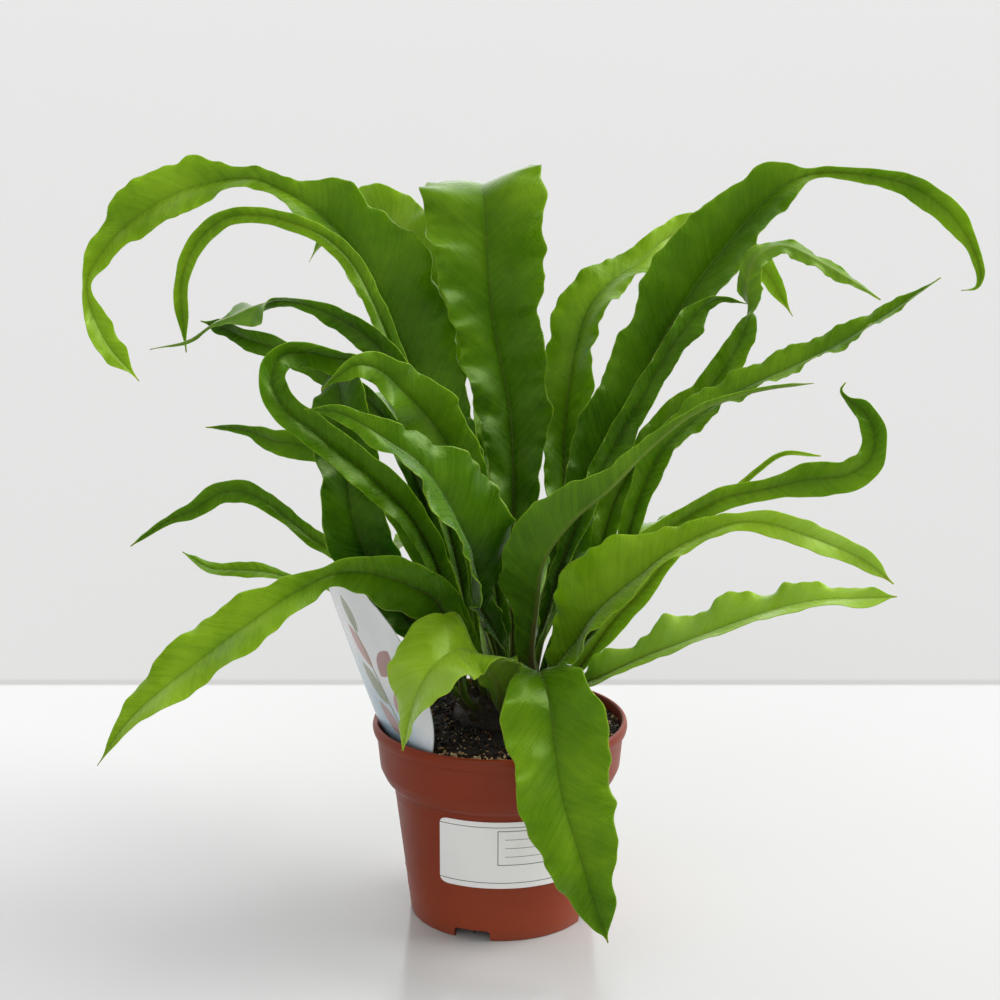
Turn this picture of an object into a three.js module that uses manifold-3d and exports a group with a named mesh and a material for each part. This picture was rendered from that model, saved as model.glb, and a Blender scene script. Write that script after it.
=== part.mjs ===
// A potted strap-leaved fern with waved fronds, in a plastic nursery pot with soil,
// a care tag and a blank label.
// Millimetres, +Z up. The origin is the centre of the pot's foot, on the table,
// and the label faces -Y.

import * as THREE from "three";
import { mergeVertices } from "three/addons/utils/BufferGeometryUtils.js";
import Module from "manifold-3d";

const wasm = await Module();
wasm.setup();

const GAP = 0.3; // left between pieces that touch

// Pot: radii and heights of the outside
const RIM_RADIUS = 55;
const RIM_Z = 87;
const LIP_Z = 81; // underside of the rounded lip
const BAND_RADIUS = 53.2;
const BAND_FOOT_RADIUS = 51.8;
const BAND_FOOT_Z = 66.5;
const LEDGE_RADIUS = 49.6;
const LEDGE_Z = 61.7;
const SHOULDER_RADIUS = 46;
const SHOULDER_Z = 58.5;
const FOOT_RADIUS = 39;
const FOOT_RING = 2.4; // width of the ring that the pot stands on
const POT_WALL = 1.5;
const FLOOR_Z = 4.8; // underside of the floor inside the foot ring
const PAD_RADIUS = 12; // flat middle of the floor, which stands on the table too
const POT_SEGMENTS = 40;
const LIP_PROFILE = [
  [RIM_RADIUS - 0.6, LIP_Z + 0.6],
  [RIM_RADIUS, LIP_Z + 3],
  [RIM_RADIUS - 0.5, RIM_Z - 0.8],
  [RIM_RADIUS - 1.4, RIM_Z],
  [RIM_RADIUS - 2.3, RIM_Z - 0.4],
];
const NOTCH_WIDTH = 16;
const NOTCH_HEIGHT = 4.6;
const NOTCH_LENGTH = 18;
const NOTCH_TURNS = [-108, -18, 72, 162];
const DRAIN_RADIUS = 4.5;
const DRAIN_CIRCLE = 28;
const DRAIN_SIDES = 12;

// Soil: its top is a low uneven mound that leaves the rim standing
const SOIL_EDGE_Z = 83.5;
const SOIL_RISE = 2.2;
const SOIL_RINGS = 5;
const SOIL_SEGMENTS = 30;
const CLODS = [
  { height: 0.7, along: [0.11, 0.02], across: [-0.03, 0.13] },
  { height: 0.5, along: [0.47, 0.21], across: [-0.18, 0.52] },
]; // heights in mm, turns in radians a mm

// Crown: the short stem that carries the fronds
const CROWN_CENTRE = new THREE.Vector3(6, 9, 0);
const CROWN_RADIUS = 26;
const CROWN_FOOT_Z = 80;
const CROWN_SIDE_Z = 86;
const CROWN_DOME = 12;
const CROWN_SEGMENTS = 24;
const CROWN_STEPS = [25, 22, 18, 13, 7, 0]; // radii of the dome's rings
const WELL_HEIGHT = 40; // of the hole in the soil that the crown stands in
const SOCKET_STATIONS = 3;
// Each ring holds the roots of its fronds at one radius and one lean from upright.
const RINGS = {
  inner: { radius: 9, lean: 6 },
  middle: { radius: 15, lean: 20 },
  outer: { radius: 22, lean: 42 },
};
const ROOT_SINK = 5; // length of a frond that stands in its socket
const ROOT_RISE = 9; // straight length of a frond above its socket

// Roots that stick out under the pot at the front notch, inside the foot ring
const ROOT_RADIUS = 0.9;
const ROOT_SIDES = 6;
const ROOT_STEPS = 6;
const ROOTS = [
  [[-8.5, -26, 9], [-8.8, -27, 4.5], [-10, -30, 2.4], [-11, -34.5, 1.7]],
  [[-7, -25.5, 9], [-6.6, -27, 4.4], [-6, -29.5, 2.6], [-8.2, -33.5, 2.2]],
];

// Care tag: an oval sheet on a stake, bent to the pot and leaning out over its rim.
// Its heights are along the sheet, from the level of the rim.
const TAG_AZIMUTH = 212;
const TAG_LEAN = 20;
const TAG_BEND = 80; // radius of the bend
const TAG_SEAT_RADIUS = 50.2;
const TAG_THICKNESS = 0.8;
const TAG_HALF_WIDTH = 31.5;
const TAG_HALF_HEIGHT = 48;
const TAG_CENTRE = 33;
const TAG_NECK = 0.14; // where the oval leaves the stake, as a share of its half turn
const TAG_CAP_HALF = 1.2; // half width of the flat end of the oval
const TAG_POINT = -48;
const TAG_POINT_HALF = 1.5;
const TAG_STAKE = -40;
const TAG_STAKE_HALF = 7;
const TAG_OVAL_ROWS = 12;
const TAG_COLUMNS = 5;

// Label: a thin sheet with round corners on the tapered wall
const LABEL_WIDTH = 53;
const LABEL_HEIGHT = 31;
const LABEL_Z = 25.5; // its lower edge
const LABEL_TURN = 2;
const LABEL_CORNER = 3;
const LABEL_CORNER_STEPS = 3;
const LABEL_THICKNESS = 0.4;
const LABEL_SPARE = 5; // height of the band that it is cut from, past its edges

// Fronds: a blade of even thickness with a keel under its rib
const BLADE = 0.8;
const KEEL = 1.2;
const KEEL_TAPER = 1.5;
const BASE_WIDTH = 4.2;
const WAVED_HALF = 8; // half width from which the waves have their full height
const WAVE_START = 0.3; // share of the length from which they have it
const WAVE_LAG = 1.1; // radians that the margins' waves run ahead of and behind the rib's
const CURVE_DIVISIONS = 400;
const STEP = 1.5; // between frames along the rib
const STEPS_PER_STATION = 5;
const SECTION_POINTS = 6;

// One row a frond: its ring and azimuth on the crown, the rib's points from the crown to
// the tip, and pairs of share of the length and a value: the blade's width, the fold of
// each half in degrees, and the roll of the blade round its rib in degrees. The last are
// the heights of the left and the right margin's waves, and their length.
const FRONDS = [
  {
    name: "frond_left_arch", ring: "inner", azimuth: 140,
    rib: [[-10, 31, 133], [-13, 44, 165], [-28, 59, 201], [-42, 72, 230], [-62, 84, 271],
      [-83, 90, 295], [-100, 93, 305], [-111, 95, 309], [-126, 96, 308], [-143, 95, 304],
      [-159, 93, 296], [-173, 91, 285], [-183, 89, 272], [-187, 87, 263], [-185, 86, 250],
      [-178, 84, 235], [-164, 81, 219]],
    width: [[0.08, 6], [0.14, 10], [0.2, 17], [0.3, 35], [0.4, 53], [0.48, 56], [0.56, 38],
      [0.62, 11], [0.66, 12], [0.72, 28], [0.77, 28], [0.84, 13], [0.88, 4], [0.93, 13],
      [0.96, 12], [1, 1.4]],
    fold: [[0, 40], [0.56, 34], [0.64, 20], [1, 14]],
    roll: [[0, -10], [0.2, -18], [0.35, -7], [0.5, -8], [0.62, -28], [0.8, -36], [0.87, -60],
      [0.92, -87], [1, -87]],
    waves: [1.8, 1, 31],
  },
  {
    name: "frond_centre_back", ring: "inner", azimuth: 94,
    rib: [[5, 44, 133], [6, 63, 178], [4, 75, 210], [-2, 81, 239], [-5, 83, 263], [-6, 87, 285],
      [-7, 92, 300], [-8, 101, 305], [-7, 116, 305], [-6, 138, 297], [-4, 160, 284]],
    width: [[0.08, 6], [0.17, 8], [0.33, 25], [0.44, 38], [0.54, 42], [0.62, 48], [0.7, 54],
      [0.78, 55], [0.86, 42], [1, 1.4]],
    fold: [[0, 30], [0.5, 24], [0.75, 10], [1, 6]],
    roll: [[0, 0], [0.2, 6], [0.62, 9], [0.72, -8], [1, -8]],
    waves: [2, 2.4, 29],
  },
  {
    name: "frond_back_left", ring: "middle", azimuth: 108,
    rib: [[-6, 46, 128], [-16, 70, 166], [-25, 88, 200], [-32, 104, 234], [-38, 116, 261],
      [-47, 130, 280], [-56, 144, 288], [-66, 154, 290], [-76, 162, 286], [-86, 168, 275],
      [-94, 172, 262]],
    width: [[0.08, 6], [0.16, 10], [0.3, 20], [0.55, 27], [0.75, 32], [0.81, 27], [0.9, 15],
      [1, 1.4]],
    fold: [[0, 34], [0.7, 14]],
    roll: [[0, 0], [0.3, -30], [0.45, -21], [0.75, -20], [0.85, -45], [1, -60]],
    waves: [1.2, 1.2, 30],
  },
  {
    name: "frond_left_hook", ring: "middle", azimuth: 149,
    rib: [[-14, 20, 135], [-22, 25, 171], [-34, 33, 206], [-45, 40, 236], [-55, 46, 260],
      [-65, 52, 277], [-77, 53, 288], [-91, 53, 294], [-105, 52, 297], [-118, 50, 296],
      [-128, 48, 289], [-135, 46, 278], [-138, 43, 265], [-137, 41, 252], [-136, 40, 239]],
    width: [[0.1, 6], [0.3, 8], [0.6, 9], [0.75, 7], [0.84, 8], [0.93, 6], [1, 1.4]],
    fold: [[0, 36], [0.7, 12]],
    roll: [[0, 0], [0.26, -42], [0.5, -42], [0.7, -52], [1, -60]],
    waves: [0.8, 0.8, 27],
  },
  {
    name: "frond_right_arch", ring: "inner", azimuth: 12,
    rib: [[22, 18, 137], [34, 30, 173], [46, 41, 197], [59, 50, 218], [70, 57, 239],
      [89, 62, 269], [100, 64, 283], [117, 66, 303], [127, 67, 310], [140, 67, 314],
      [160, 66, 313], [178, 62, 309], [196, 58, 297], [206, 54, 282], [209, 51, 271],
      [207, 49, 266], [200, 47, 265]],
    width: [[0.08, 6], [0.12, 7], [0.23, 19], [0.31, 32], [0.44, 35], [0.54, 46], [0.6, 38],
      [0.66, 27], [0.72, 5], [0.78, 7], [0.84, 12], [0.89, 11], [0.94, 5], [1, 1.4]],
    fold: [[0, 40], [0.6, 38], [0.72, 22], [1, 14]],
    roll: [[0, 0], [0.12, 50], [0.25, 60], [0.4, 50], [0.56, 52], [0.7, 56], [0.76, 96],
      [0.9, 90], [1, 75]],
    waves: [1.6, 1.4, 31],
  },
  {
    name: "frond_back_right", ring: "inner", azimuth: 52,
    rib: [[24, 38, 130], [27, 57, 153], [29, 71, 178], [30, 80, 203], [34, 90, 229],
      [41, 100, 250], [52, 110, 261], [65, 121, 268], [78, 135, 277], [91, 147, 281],
      [105, 155, 278], [119, 160, 268], [131, 164, 257], [138, 166, 246], [144, 166, 236]],
    width: [[0.1, 9], [0.2, 13], [0.31, 23], [0.45, 28], [0.56, 29], [0.62, 22], [0.67, 15],
      [0.78, 16], [0.9, 15], [0.94, 9], [1, 1.4]],
    fold: [[0, 34], [0.5, 24], [0.7, 14]],
    roll: [[0, 0], [0.2, 45], [0.32, 44], [0.4, 20], [0.5, -5], [0.6, 5], [0.75, 70], [0.82, 110],
      [1, 100]],
    waves: [1.8, 1.4, 29],
  },
  {
    name: "frond_right_under", ring: "inner", azimuth: 335,
    rib: [[24, 4, 146], [37, 8, 181], [49, 12, 204], [59, 14, 222], [69, 18, 239], [79, 22, 253],
      [88, 27, 262], [94, 28, 264], [105, 27, 262]],
    width: [[0.1, 6], [0.28, 8], [0.44, 10], [0.57, 13], [0.67, 11], [0.78, 10], [0.85, 13],
      [0.92, 6], [0.95, 2.5], [1, 1.4]],
    fold: [[0, 36], [0.7, 22], [0.9, 12]],
    roll: [[0, 0], [0.3, 90], [0.44, 118], [0.7, 112], [0.85, 125], [1, 145]],
    waves: [1.8, 2, 19],
  },
  {
    name: "frond_right_twist", ring: "middle", azimuth: 35,
    rib: [[41, 20, 149], [51, 28, 178], [64, 34, 198], [76, 37, 212], [89, 37, 222],
      [99, 36, 236], [105, 37, 248], [107, 35, 259], [106, 36, 269], [109, 37, 280],
      [121, 41, 285], [141, 42, 276], [164, 40, 262]],
    width: [[0.1, 7], [0.34, 13], [0.55, 13], [0.61, 13], [0.69, 9], [0.74, 13], [0.8, 9],
      [0.9, 8], [1, 1.4]],
    fold: [[0, 34], [0.7, 12]],
    roll: [[0, 0], [0.3, 45], [0.55, 50], [0.65, 66], [0.74, 215], [1, 235]],
    waves: [2.2, 2.4, 20],
  },
  {
    name: "frond_right_long", ring: "middle", azimuth: 356,
    rib: [[41, -2, 128], [51, 0, 155], [59, 4, 182], [69, 8, 203], [82, 10, 215], [97, 12, 225],
      [113, 13, 233], [131, 14, 241], [152, 14, 253], [184, 14, 275]],
    width: [[0.1, 7], [0.35, 11], [0.5, 15], [0.6, 17], [0.76, 18], [0.86, 12], [1, 1.4]],
    fold: [[0, 36], [0.7, 26], [1, 20]],
    roll: [[0, 0], [0.3, 75], [0.42, 72], [0.6, 42], [0.8, 32], [1, 32]],
    waves: [1.8, 1.2, 24],
  },
  {
    name: "frond_right_reach", ring: "middle", azimuth: 302,
    rib: [[13, -17, 118], [15, -30, 146], [18, -46, 170], [29, -54, 188], [42, -57, 200],
      [58, -58, 217], [74, -60, 231], [89, -61, 238], [104, -62, 242], [121, -62, 244]],
    width: [[0.1, 8], [0.2, 14], [0.33, 32], [0.48, 34], [0.62, 14], [0.7, 8], [0.8, 4],
      [1, 1.4]],
    fold: [[0, 40], [0.7, 50]],
    roll: [[0, 0], [0.5, 10], [1, 10]],
    waves: [0.8, 2.4, 29],
  },
  {
    name: "frond_right_front", ring: "outer", azimuth: 318,
    rib: [[25, -23, 118], [33, -32, 133], [37, -43, 144], [45, -50, 155], [56, -56, 166],
      [66, -61, 176], [78, -65, 184], [92, -68, 190], [105, -70, 190], [118, -71, 186],
      [131, -72, 181], [142, -73, 176], [153, -74, 167]],
    width: [[0.1, 12], [0.18, 14], [0.27, 30], [0.4, 44], [0.47, 38], [0.56, 20], [0.64, 11],
      [0.7, 8], [0.76, 11], [0.84, 11], [0.93, 8], [1, 1.4]],
    fold: [[0, 38], [0.5, 32], [0.7, 18], [1, 12]],
    roll: [[0, 20], [0.15, 60], [0.26, 76], [0.4, 60], [0.64, 54], [0.74, 86], [0.85, 80],
      [1, 100]],
    waves: [1, 1.6, 34],
  },
  {
    name: "frond_right_curl", ring: "middle", azimuth: 331,
    rib: [[39, -12, 136], [51, -17, 158], [64, -21, 172], [78, -24, 182], [92, -26, 190],
      [109, -27, 194], [125, -28, 198], [141, -28, 200], [150, -27, 206], [152, -25, 216],
      [148, -21, 225], [142, -18, 229], [139, -17, 233], [141, -16, 236]],
    width: [[0.1, 7], [0.34, 11], [0.5, 10], [0.64, 9], [0.72, 14], [0.8, 14], [0.88, 10],
      [0.93, 8], [0.97, 2], [1, 1.4]],
    fold: [[0, 36], [0.7, 16]],
    roll: [[0, 0], [0.2, 70], [0.34, 98], [0.64, 100], [0.8, 104], [0.9, 84], [1, 84]],
    waves: [0.5, 2, 30],
  },
  {
    name: "frond_right_mid", ring: "outer", azimuth: 18,
    rib: [[49, 15, 125], [61, 16, 138], [74, 18, 154], [88, 19, 169], [101, 20, 182],
      [112, 21, 192], [122, 22, 198], [138, 22, 197]],
    width: [[0.1, 8], [0.27, 13], [0.38, 11], [0.5, 7], [0.63, 4], [0.74, 3], [0.9, 2.2],
      [1, 1.4]],
    fold: [[0, 36], [0.7, 14]],
    roll: [[0, 0], [0.25, 58], [0.6, 56], [0.74, 44], [1, 44]],
    waves: [0.8, 0.8, 24],
  },
  {
    name: "frond_right_low", ring: "outer", azimuth: 345,
    rib: [[45, -10, 109], [60, -14, 118], [77, -18, 126], [98, -20, 135], [116, -22, 142],
      [132, -24, 146], [149, -25, 147], [164, -26, 148]],
    width: [[0.1, 8], [0.2, 17], [0.32, 17], [0.44, 24], [0.58, 26], [0.7, 21], [0.8, 14],
      [0.91, 12], [1, 1.4]],
    fold: [[0, 36], [0.5, 28], [0.8, 16], [1, 12]],
    roll: [[0, 0], [0.2, 30], [0.32, 32], [0.5, 20], [0.8, 18], [0.92, 38], [1, 38]],
    waves: [0.3, 2.6, 31],
  },
  {
    name: "frond_front_droop", ring: "outer", azimuth: 286,
    rib: [[12, -27, 104], [14, -36, 115], [16, -46, 122], [18, -56, 121], [20, -65, 114],
      [22, -72, 98], [25, -78, 79], [31, -83, 60], [37, -87, 41], [43, -89, 23]],
    width: [[0.18, 9], [0.3, 16], [0.37, 31], [0.46, 43], [0.65, 41], [0.77, 32], [0.89, 18],
      [1, 1.4]],
    fold: [[0, 30], [0.5, 16], [0.7, 12]],
    roll: [[0, 0], [0.3, 0], [0.36, 2], [0.46, 10], [0.55, -6], [0.7, -8], [0.8, 4], [0.9, 20],
      [1, 20]],
    waves: [1.8, 1.2, 31],
  },
  {
    name: "frond_front_short", ring: "outer", azimuth: 258,
    rib: [[-1, -28, 112], [-6, -39, 123], [-9, -50, 131], [-15, -56, 135], [-22, -66, 135],
      [-28, -73, 131], [-33, -78, 122], [-36, -82, 112], [-38, -84, 102]],
    width: [[0.12, 9], [0.26, 21], [0.38, 30], [0.5, 25], [0.58, 30], [0.66, 35], [0.76, 34],
      [0.84, 23], [0.92, 10], [1, 1.4]],
    fold: [[0, 30], [0.7, 12]],
    roll: [[0, 0], [0.3, 10], [0.42, -20], [0.58, -60], [0.66, -50], [0.74, -24], [0.84, -6],
      [1, -6]],
    waves: [2.2, 1.6, 29],
  },
  {
    name: "frond_left_front", ring: "outer", azimuth: 222,
    rib: [[-17, -22, 123], [-22, -32, 140], [-27, -39, 151], [-36, -45, 158], [-46, -52, 164],
      [-57, -60, 168], [-66, -68, 169], [-78, -76, 165], [-90, -84, 159], [-116, -96, 142],
      [-140, -105, 123], [-153, -108, 105]],
    width: [[0.1, 8], [0.24, 14], [0.32, 22], [0.4, 25], [0.46, 17], [0.53, 9], [0.6, 15],
      [0.7, 26], [0.8, 24], [1, 1.4]],
    fold: [[0, 30], [0.4, 24], [0.6, 12], [1, 10]],
    roll: [[0, -20], [0.24, -104], [0.32, -112], [0.45, -104], [0.53, -80], [0.68, -26],
      [1, -20]],
    waves: [1.2, 0.8, 36],
  },
  {
    name: "frond_left_small", ring: "outer", azimuth: 192,
    rib: [[-45, 0, 128], [-60, -2, 140], [-72, -2, 145], [-89, -4, 150], [-100, -5, 153],
      [-112, -6, 154], [-122, -7, 155], [-133, -10, 163]],
    width: [[0.1, 5], [0.5, 5], [0.64, 3], [0.78, 8], [0.9, 7], [1, 1.4]],
    fold: [[0, 30], [0.7, 10]],
    roll: [[0, 0], [0.5, -40], [1, -40]],
    waves: [0.8, 0.8, 22],
  },
  {
    name: "frond_left_out", ring: "outer", azimuth: 172,
    rib: [[-51, 32, 137], [-69, 38, 148], [-81, 41, 154], [-93, 44, 163], [-104, 46, 171],
      [-114, 48, 175], [-125, 49, 174], [-137, 51, 166], [-150, 52, 160], [-166, 52, 149]],
    width: [[0.1, 6], [0.44, 8], [0.6, 8], [0.72, 10], [0.78, 10], [0.84, 7], [0.9, 3.5],
      [1, 1.4]],
    fold: [[0, 34], [0.6, 16], [0.75, 9]],
    roll: [[0, 0], [0.4, -58], [0.65, -58], [0.75, -90], [1, -80]],
    waves: [1.2, 1.2, 23],
  },
  {
    name: "frond_left_low", ring: "outer", azimuth: 152,
    rib: [[-28, 42, 132], [-44, 52, 164], [-59, 62, 179], [-77, 70, 188], [-91, 74, 191],
      [-103, 77, 192], [-111, 79, 195], [-120, 81, 197], [-135, 84, 197]],
    width: [[0.1, 6], [0.4, 13], [0.6, 14], [0.77, 13], [0.84, 12], [0.9, 5], [1, 1.4]],
    fold: [[0, 34], [0.7, 10]],
    roll: [[0, 0], [0.4, -52], [0.6, -66], [0.77, -74], [0.86, -98], [1, -100]],
    waves: [0.8, 1, 25],
  },
  {
    name: "frond_left_tall", ring: "middle", azimuth: 213,
    rib: [[-32, -10, 127], [-47, -17, 147], [-56, -22, 166], [-61, -22, 182], [-63, -20, 196],
      [-64, -16, 212], [-65, -11, 225], [-67, -5, 234], [-70, 2, 235], [-75, 8, 229]],
    width: [[0.1, 9], [0.25, 15], [0.39, 23], [0.5, 27], [0.67, 28], [0.78, 26], [0.86, 26],
      [0.93, 18], [1, 1.4]],
    fold: [[0, 30], [0.6, 20], [0.8, 12]],
    roll: [[0, -10], [0.3, -95], [0.55, -112], [0.68, -92], [0.76, -105], [0.85, -145],
      [1, -145]],
    waves: [1.2, 1.4, 31],
  },
  {
    name: "frond_left_loop", ring: "middle", azimuth: 233,
    rib: [[-22, -14, 146], [-31, -24, 172], [-39, -32, 187], [-51, -38, 201], [-63, -41, 212],
      [-75, -42, 222], [-85, -41, 230], [-91, -38, 240], [-88, -32, 249], [-79, -26, 250],
      [-66, -16, 246], [-49, 0, 240]],
    width: [[0.1, 7], [0.36, 13], [0.5, 17], [0.7, 13], [0.8, 11], [0.88, 15], [1, 1.4]],
    fold: [[0, 36], [0.5, 34], [0.75, 24]],
    roll: [[0, -40], [0.3, -115], [0.7, -116], [0.76, -98], [0.8, -60], [0.86, -27], [1, -27]],
    waves: [1, 0.8, 27],
  },
  {
    name: "frond_left_wavy", ring: "middle", azimuth: 190,
    rib: [[-21, 4, 141], [-31, 5, 176], [-41, 8, 202], [-49, 10, 216], [-58, 13, 225],
      [-70, 17, 231], [-83, 22, 238], [-96, 28, 243], [-109, 34, 246], [-120, 40, 250],
      [-130, 45, 252]],
    width: [[0.1, 7], [0.4, 8], [0.58, 9], [0.7, 10], [0.84, 10], [0.95, 7], [1, 1.4]],
    fold: [[0, 36], [0.4, 30], [0.6, 18], [1, 12]],
    roll: [[0, 0], [0.25, -60], [0.4, -90], [0.65, -98], [0.78, -110], [1, -112]],
    waves: [1.6, 2, 22],
  },
  {
    name: "frond_left_fold", ring: "middle", azimuth: 170,
    rib: [[-17, 14, 143], [-25, 16, 177], [-34, 22, 208], [-43, 28, 232], [-57, 32, 247],
      [-70, 34, 255], [-82, 35, 260], [-93, 36, 262], [-100, 35, 261], [-107, 33, 259],
      [-114, 30, 256], [-122, 28, 253], [-133, 26, 246], [-149, 24, 243]],
    width: [[0.1, 7], [0.33, 8], [0.45, 11], [0.62, 12], [0.68, 10], [0.73, 6], [0.79, 7],
      [0.83, 24], [0.87, 7], [0.9, 3], [1, 1.4]],
    fold: [[0, 36], [0.55, 16], [0.7, 12]],
    roll: [[0, 0], [0.33, -51], [0.45, -62], [0.6, -90], [0.72, -100], [0.78, -140], [0.83, -200],
      [1, -200]],
    waves: [1.2, 1.2, 24],
  },
  {
    name: "frond_front_left", ring: "middle", azimuth: 254,
    rib: [[-1, -16, 126], [-10, -29, 148], [-11, -42, 167], [-17, -52, 187], [-24, -58, 202],
      [-32, -62, 213], [-42, -65, 221], [-53, -67, 229], [-63, -68, 234], [-75, -68, 235]],
    width: [[0.1, 8], [0.2, 9], [0.33, 18], [0.45, 40], [0.57, 46], [0.66, 38], [0.75, 24],
      [0.82, 14], [0.9, 8], [1, 1.4]],
    fold: [[0, 32], [0.5, 32], [0.7, 20], [0.9, 14]],
    roll: [[0, -40], [0.33, -108], [0.6, -94], [0.8, -93], [0.9, -140], [1, -150]],
    waves: [2, 1.8, 29],
  },
  {
    name: "frond_front_bent", ring: "inner", azimuth: 250,
    rib: [[-1, -4, 139], [-5, -6, 167], [-12, -9, 189], [-21, -14, 209], [-30, -22, 224],
      [-39, -30, 235], [-47, -36, 244], [-56, -44, 248], [-64, -48, 244], [-70, -50, 239]],
    width: [[0.1, 8], [0.23, 9], [0.38, 12], [0.49, 18], [0.6, 24], [0.7, 27], [0.78, 21],
      [0.86, 13], [0.93, 8], [1, 1.4]],
    fold: [[0, 34], [0.6, 22], [0.8, 15]],
    roll: [[0, -40], [0.3, -140], [0.55, -152], [0.7, -142], [0.8, -118], [1, -130]],
    waves: [1.6, 1.8, 26],
  },
  {
    name: "frond_back_far", ring: "middle", azimuth: 86,
    rib: [[4, 56, 130], [2, 86, 172], [0, 118, 206], [-2, 146, 222], [-4, 170, 220],
      [-6, 190, 202]],
    width: [[0.1, 9], [0.5, 28], [0.65, 26], [1, 1.4]],
    fold: [[0, 34], [0.7, 12]],
    roll: [[0, 0], [1, 0]],
    waves: [2.2, 2.2, 26],
  },
  {
    name: "frond_back_west", ring: "outer", azimuth: 132,
    rib: [[-16, 58, 128], [-30, 88, 162], [-44, 116, 188], [-58, 140, 200], [-70, 160, 196],
      [-78, 174, 180]],
    width: [[0.1, 8], [0.5, 24], [0.65, 22], [1, 1.4]],
    fold: [[0, 34], [0.7, 12]],
    roll: [[0, 0], [1, 0]],
    waves: [2, 2, 25],
  },
  {
    name: "frond_back_east", ring: "middle", azimuth: 64,
    rib: [[28, 54, 128], [38, 86, 164], [48, 114, 190], [58, 138, 200], [66, 158, 196],
      [70, 172, 180]],
    width: [[0.1, 8], [0.5, 25], [0.65, 22], [1, 1.4]],
    fold: [[0, 34], [0.7, 12]],
    roll: [[0, 0], [1, 0]],
    waves: [2, 2, 25],
  },
  {
    name: "frond_back_low_west", ring: "outer", azimuth: 112,
    rib: [[-8, 60, 108], [-20, 88, 126], [-34, 114, 134], [-48, 138, 128], [-60, 158, 110]],
    width: [[0.1, 8], [0.5, 24], [0.65, 22], [1, 1.4]],
    fold: [[0, 32], [0.7, 12]],
    roll: [[0, 0], [1, 0]],
    waves: [1.8, 1.8, 25],
  },
  {
    name: "frond_back_low_east", ring: "outer", azimuth: 74,
    rib: [[14, 60, 108], [24, 90, 126], [36, 118, 133], [50, 142, 124], [62, 160, 104]],
    width: [[0.1, 8], [0.5, 26], [0.65, 24], [1, 1.4]],
    fold: [[0, 32], [0.7, 12]],
    roll: [[0, 0], [1, 0]],
    waves: [1.8, 1.8, 25],
  },
  {
    name: "frond_back_side", ring: "outer", azimuth: 45,
    rib: [[34, 42, 112], [52, 62, 133], [68, 84, 146], [82, 106, 148], [92, 124, 138]],
    width: [[0.1, 8], [0.5, 22], [0.65, 20], [1, 1.4]],
    fold: [[0, 32], [0.7, 12]],
    roll: [[0, 0], [1, 0]],
    waves: [1.8, 1.8, 25],
  },
];

function finish(color, roughness) {
  return new THREE.MeshStandardMaterial({ color, roughness, metalness: 0 });
}

const material = {
  pot: finish(0xa8452f, 0.42),
  soil: finish(0x2a1d14, 0.95),
  crown: finish(0x4a3420, 0.85),
  frond: finish(0x4f8a1f, 0.4),
  tag: finish(0xe6ebef, 0.35),
  label: finish(0xf4f4f2, 0.55),
};

// Joining and cutting

function solidOf(geometry) {
  const bare = geometry.clone();
  bare.deleteAttribute("normal");
  bare.deleteAttribute("uv");
  const merged = mergeVertices(bare, 1e-4);
  return new wasm.Manifold(new wasm.Mesh({
    numProp: 3,
    vertProperties: new Float32Array(merged.attributes.position.array),
    triVerts: new Uint32Array(merged.index.array),
  }));
}

function geometryOf(solid) {
  const { vertProperties, triVerts } = solid.getMesh();
  return skinOf(vertProperties, triVerts);
}

function skinOf(positions, index) {
  const geometry = new THREE.BufferGeometry();
  geometry.setAttribute("position", new THREE.BufferAttribute(Float32Array.from(positions), 3));
  geometry.setIndex(Array.from(index));
  geometry.computeVertexNormals();
  return geometry;
}

function meshOf(name, geometry, look) {
  const mesh = new THREE.Mesh(geometry, look);
  mesh.name = name;
  return mesh;
}

function polar(radius, degrees, z = 0) {
  const angle = THREE.MathUtils.degToRad(degrees);
  return new THREE.Vector3(radius * Math.cos(angle), radius * Math.sin(angle), z);
}

function lathe(profile, segments) {
  const points = profile.map(([radius, z]) => new THREE.Vector2(radius, z));
  const geometry = new THREE.LatheGeometry(points, segments);
  geometry.rotateX(Math.PI / 2);
  return geometry;
}

function upright(radius, height, sides) {
  const cylinder = new THREE.CylinderGeometry(radius, radius, height, sides);
  cylinder.rotateX(Math.PI / 2);
  return cylinder;
}

// Fronds

function smooth(share) {
  const t = THREE.MathUtils.clamp(share, 0, 1);
  return t * t * (3 - 2 * t);
}

// The value at a share of the length, eased between pairs of share and value.
function eased(pairs, share) {
  for (let i = 1; i < pairs.length; i++) {
    const [from, low] = pairs[i - 1];
    const [to, high] = pairs[i];
    if (share <= to) return low + (high - low) * smooth((share - from) / (to - from));
  }
  return pairs[pairs.length - 1][1];
}

function crownHeight(radius) {
  return CROWN_SIDE_Z + CROWN_DOME * Math.sqrt(1 - (radius / CROWN_RADIUS) ** 2);
}

// The rib as a curve from the foot of the socket to the tip.
function ribOf(frond) {
  const { radius, lean } = RINGS[frond.ring];
  const tilt = THREE.MathUtils.degToRad(lean);
  const way = polar(Math.sin(tilt), frond.azimuth, Math.cos(tilt));
  const mouth = CROWN_CENTRE.clone().add(polar(radius, frond.azimuth, crownHeight(radius)));
  const foot = mouth.clone().addScaledVector(way, -ROOT_SINK);
  const clear = mouth.clone().addScaledVector(way, ROOT_RISE);
  const free = frond.rib.map((point) => new THREE.Vector3(...point));
  const curve = new THREE.CatmullRomCurve3([foot, mouth, clear, ...free], false, "centripetal");
  curve.arcLengthDivisions = CURVE_DIVISIONS;
  return curve;
}

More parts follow.
